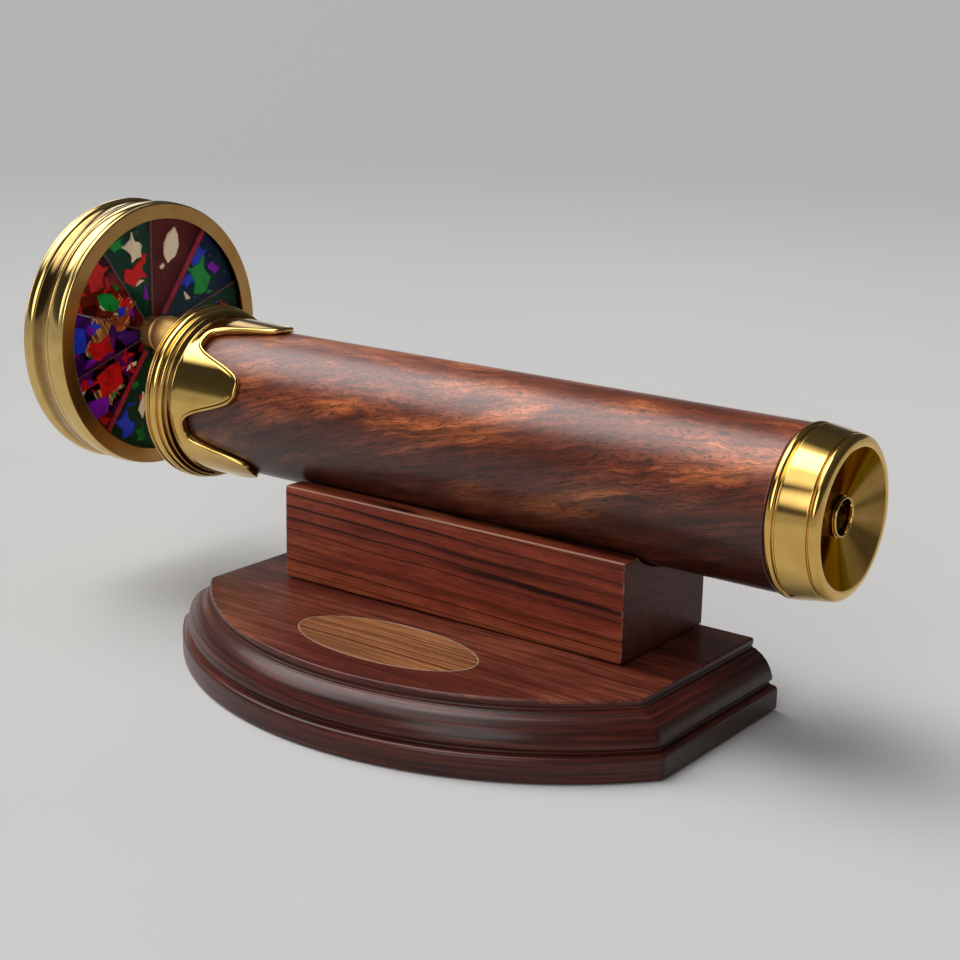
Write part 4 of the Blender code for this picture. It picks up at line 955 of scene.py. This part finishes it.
# Larger shards, drawn out in streaks
STREAKED = (
    ("ember", 2, 40, 62, 95, 60, SHARD), ("amber", 3, 60, 40, 115, 75, SHARD),
    ("amber", 4, 68, 62, 95, 40, SHARD), ("ember", 7, 50, 35, 85, 20, SHARD),
)


def broken_outline(outline, rough):
    """An outline with uneven points between its corners, as broken glass has."""
    points = []
    for here, after in zip(outline, outline[1:] + outline[:1]):
        points.append(here)
        for share in (0.3, 0.65) if rough < 0.2 else (0.5,):
            u = here[0] + (after[0] - here[0]) * share
            v = here[1] + (after[1] - here[1]) * share
            push = 1 + random.uniform(-rough, rough)
            points.append((u * push, v * push))
    return points


def add_chip(shape, chip, rough, back, front):
    """Adds a flat chip with a bevelled front, from its row in a table after the colour."""
    sector, radius, angle, length, turn, outline = chip
    _, y, z = around(0, OPENING_RADIUS * (radius / 100),
                     FIRST_DIVIDER + SECTOR_ANGLE * (sector + angle / 100), WHEEL_Z)
    length, lean = CHIP_LENGTH * (length / 100), math.radians(turn)
    points = []
    for along, across in broken_outline(outline, rough):
        u, v = length * along, length * across
        points.append((u * math.cos(lean) - v * math.sin(lean),
                       u * math.sin(lean) + v * math.cos(lean)))
    bevel = min(0.0002, 0.3 * (front - back))
    add_bar(shape, [[(x, y + u * size, z + v * size) for u, v in points]
                    for x, size in ((back, 1.0), (front - bevel, 1.0), (front, 0.94))])


def build_chips():
    """The chips, the scraps as one piece for each colour, and the streaked shards.

    Each is a little thicker than the last, so that no two fronts coincide.
    """
    for index, (colour, *chip) in enumerate(CHIPS):
        shape = bmesh.new()
        rough = 0.05 if chip[-1] is PETAL else 0.2
        add_chip(shape, chip, rough, CHIP_BACK, CHIP_BACK + 0.0005 + 0.00001 * index)
        number = "%02d" % (index + 1)
        finish_piece("glass_chip_" + number, shape, [chip_colours[colour]], "wheel",
                     ["chip_" + number], sharp=20)
    scraps = list(SCRAPS)
    for _ in range(STREWN):
        scraps.append((random.choice(SCRAP_COLOURS), random.choice(SCRAP_SECTORS),
                       random.uniform(30, 94), random.uniform(8, 92), random.uniform(12, 42),
                       random.uniform(0, 180), random.choice(SCRAP_OUTLINES)))
    for kind, material in chip_colours.items():
        shape = bmesh.new()
        for index, (colour, *chip) in enumerate(scraps):
            if colour == kind:
                add_chip(shape, chip, 0.25, SCRAP_BACK, CHIP_BACK + 0.0001 + 0.000002 * index)
        finish_piece("scraps_" + kind, shape, [material], "wheel", [], sharp=20)
    for number, (kind, *chip) in enumerate(STREAKED, 1):
        shape = bmesh.new()
        add_chip(shape, chip, 0.15, SCRAP_BACK, CHIP_BACK + 0.00008)
        finish_piece("streaked_shard_%d" % number, shape, [streaks[kind]], "wheel", [],
                     sharp=20)


# What stays as the CAD made it, with finer finishes

SECTOR_COLOURS = "maroon green plum violet crimson green maroon navy green navy".split()
FINISHES = (
    (steel, ("cradle_screw_left", "cradle_screw_right", "axle")),
    (bright_brass, ("end_plate", "window_ring")),
    # The axle's washer and nut also get the hub's brighter brass with painted light.
    (hub_brass_painted_light, ("axle_washer", "axle_nut")),
    (clear, ("object_window", "eye_window")),
    (silver, ("mirror_upper", "mirror_left", "mirror_right")),
    (cork, ("mirror_holder_front", "mirror_holder_rear")),
)


def paint_nodes():
    """Gives the nodes that nothing replaces their materials."""
    finishes = [(tints[colour], ("sector_%02d" % number,))
                for number, colour in enumerate(SECTOR_COLOURS, 1)]
    for material, nodes in finishes + list(FINISHES):
        for node in nodes:
            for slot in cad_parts[node].material_slots:
                slot.material = material


# Studio

# Soft lamps in the world: direction, degrees of full brightness and of any, brightness
GLOWS = (
    ((-0.57, -0.07, 0.82), 12, 30, 4.6),
    ((-0.14, -0.17, 0.97), 6, 17, 4.2),
    ((-0.12, -0.5, 0.86), 6, 20, 1.6),
    ((0.16, -0.88, 0.46), 10, 22, 3.0),
    ((-0.8, 0.52, 0.36), 5, 14, 2.0),
)
# Brightness of the world from the plain backdrop at the horizon up to the zenith
BACKDROP = 0.44
SKY = ((0.0, BACKDROP), (0.09, BACKDROP), (0.17, 0.1), (0.3, 0.06), (0.55, 0.05), (1.0, 0.1))


def build_floor():
    """A plain pale floor, darker away from the object: a painted pool of light around it."""
    paint = Paint("floor")
    near_tone = paint.ramp(paint.cloud(0.006, 3), (0.3, (0.545, 0.541, 0.533)),
                           (0.7, (0.57, 0.566, 0.558)))
    away = paint.length(paint.stretch(paint.place(), (1, 1, 0)))
    # Painted pool of light: the floor's colour fades darker with distance from the object.
    colour = paint.mix(paint.fade(away, 150, 1300), near_tone, (0.41, 0.41, 0.405))
    paint.set(Base_Color=colour, Roughness=0.9, Specular_IOR_Level=0.2)
    shape = bmesh.new()
    bmesh.ops.create_grid(shape, x_segments=8, y_segments=8, size=40)
    floor = add_object("floor", shape, [paint.material])


def build_world():
    """Soft studio light, all from the world."""
    paint = Paint("studio", bpy.data.worlds.new("studio"))
    bpy.context.scene.world = paint.material
    spot = paint.add("TexCoord", {}, "Generated")
    light = paint.ramp(paint.part(spot, 2), *SKY)
    for direction, full, none, strength in GLOWS:
        angle = paint.dot(spot, Vector(direction).normalized())
        glow = paint.fade(angle, math.cos(math.radians(none)), math.cos(math.radians(full)),
                          0, strength)
        light = paint.plus(light, glow)
    paint.set(Color=light, Strength=1.0)


def build_camera():
    """The photograph's viewpoint: 35 degrees from the front to the eyepiece's side, 15 above."""
    sensor, focal_pixels, picture_pixels = 36, 1833.93, 960
    yaw, pitch, roll = 0.618, -0.261, 0.025
    data = bpy.data.cameras.new("camera")
    data.sensor_width = sensor
    data.lens = sensor * focal_pixels / picture_pixels
    data.shift_x = -0.0294
    data.shift_y = -0.0061
    data.clip_start = 0.01
    camera = bpy.data.objects.new("camera", data)
    camera.location = (0.2403, -0.33086, 0.15565)
    level = Matrix.Rotation(yaw, 4, "Z") @ Matrix.Rotation(math.pi / 2 + pitch, 4, "X")
    camera.rotation_euler = (level @ Matrix.Rotation(roll, 4, "Z")).to_euler()
    bpy.context.scene.collection.objects.link(camera)
    bpy.context.scene.camera = camera


build_base()
build_felt()
build_inlay()
build_block()
build_barrel()
build_crown()
build_cap()
build_rim()
build_glass()
build_hub()
build_dividers()
build_rods()
build_chips()
paint_nodes()
build_floor()
build_world()
build_camera()
bpy.context.scene.view_settings.view_transform = "Standard"
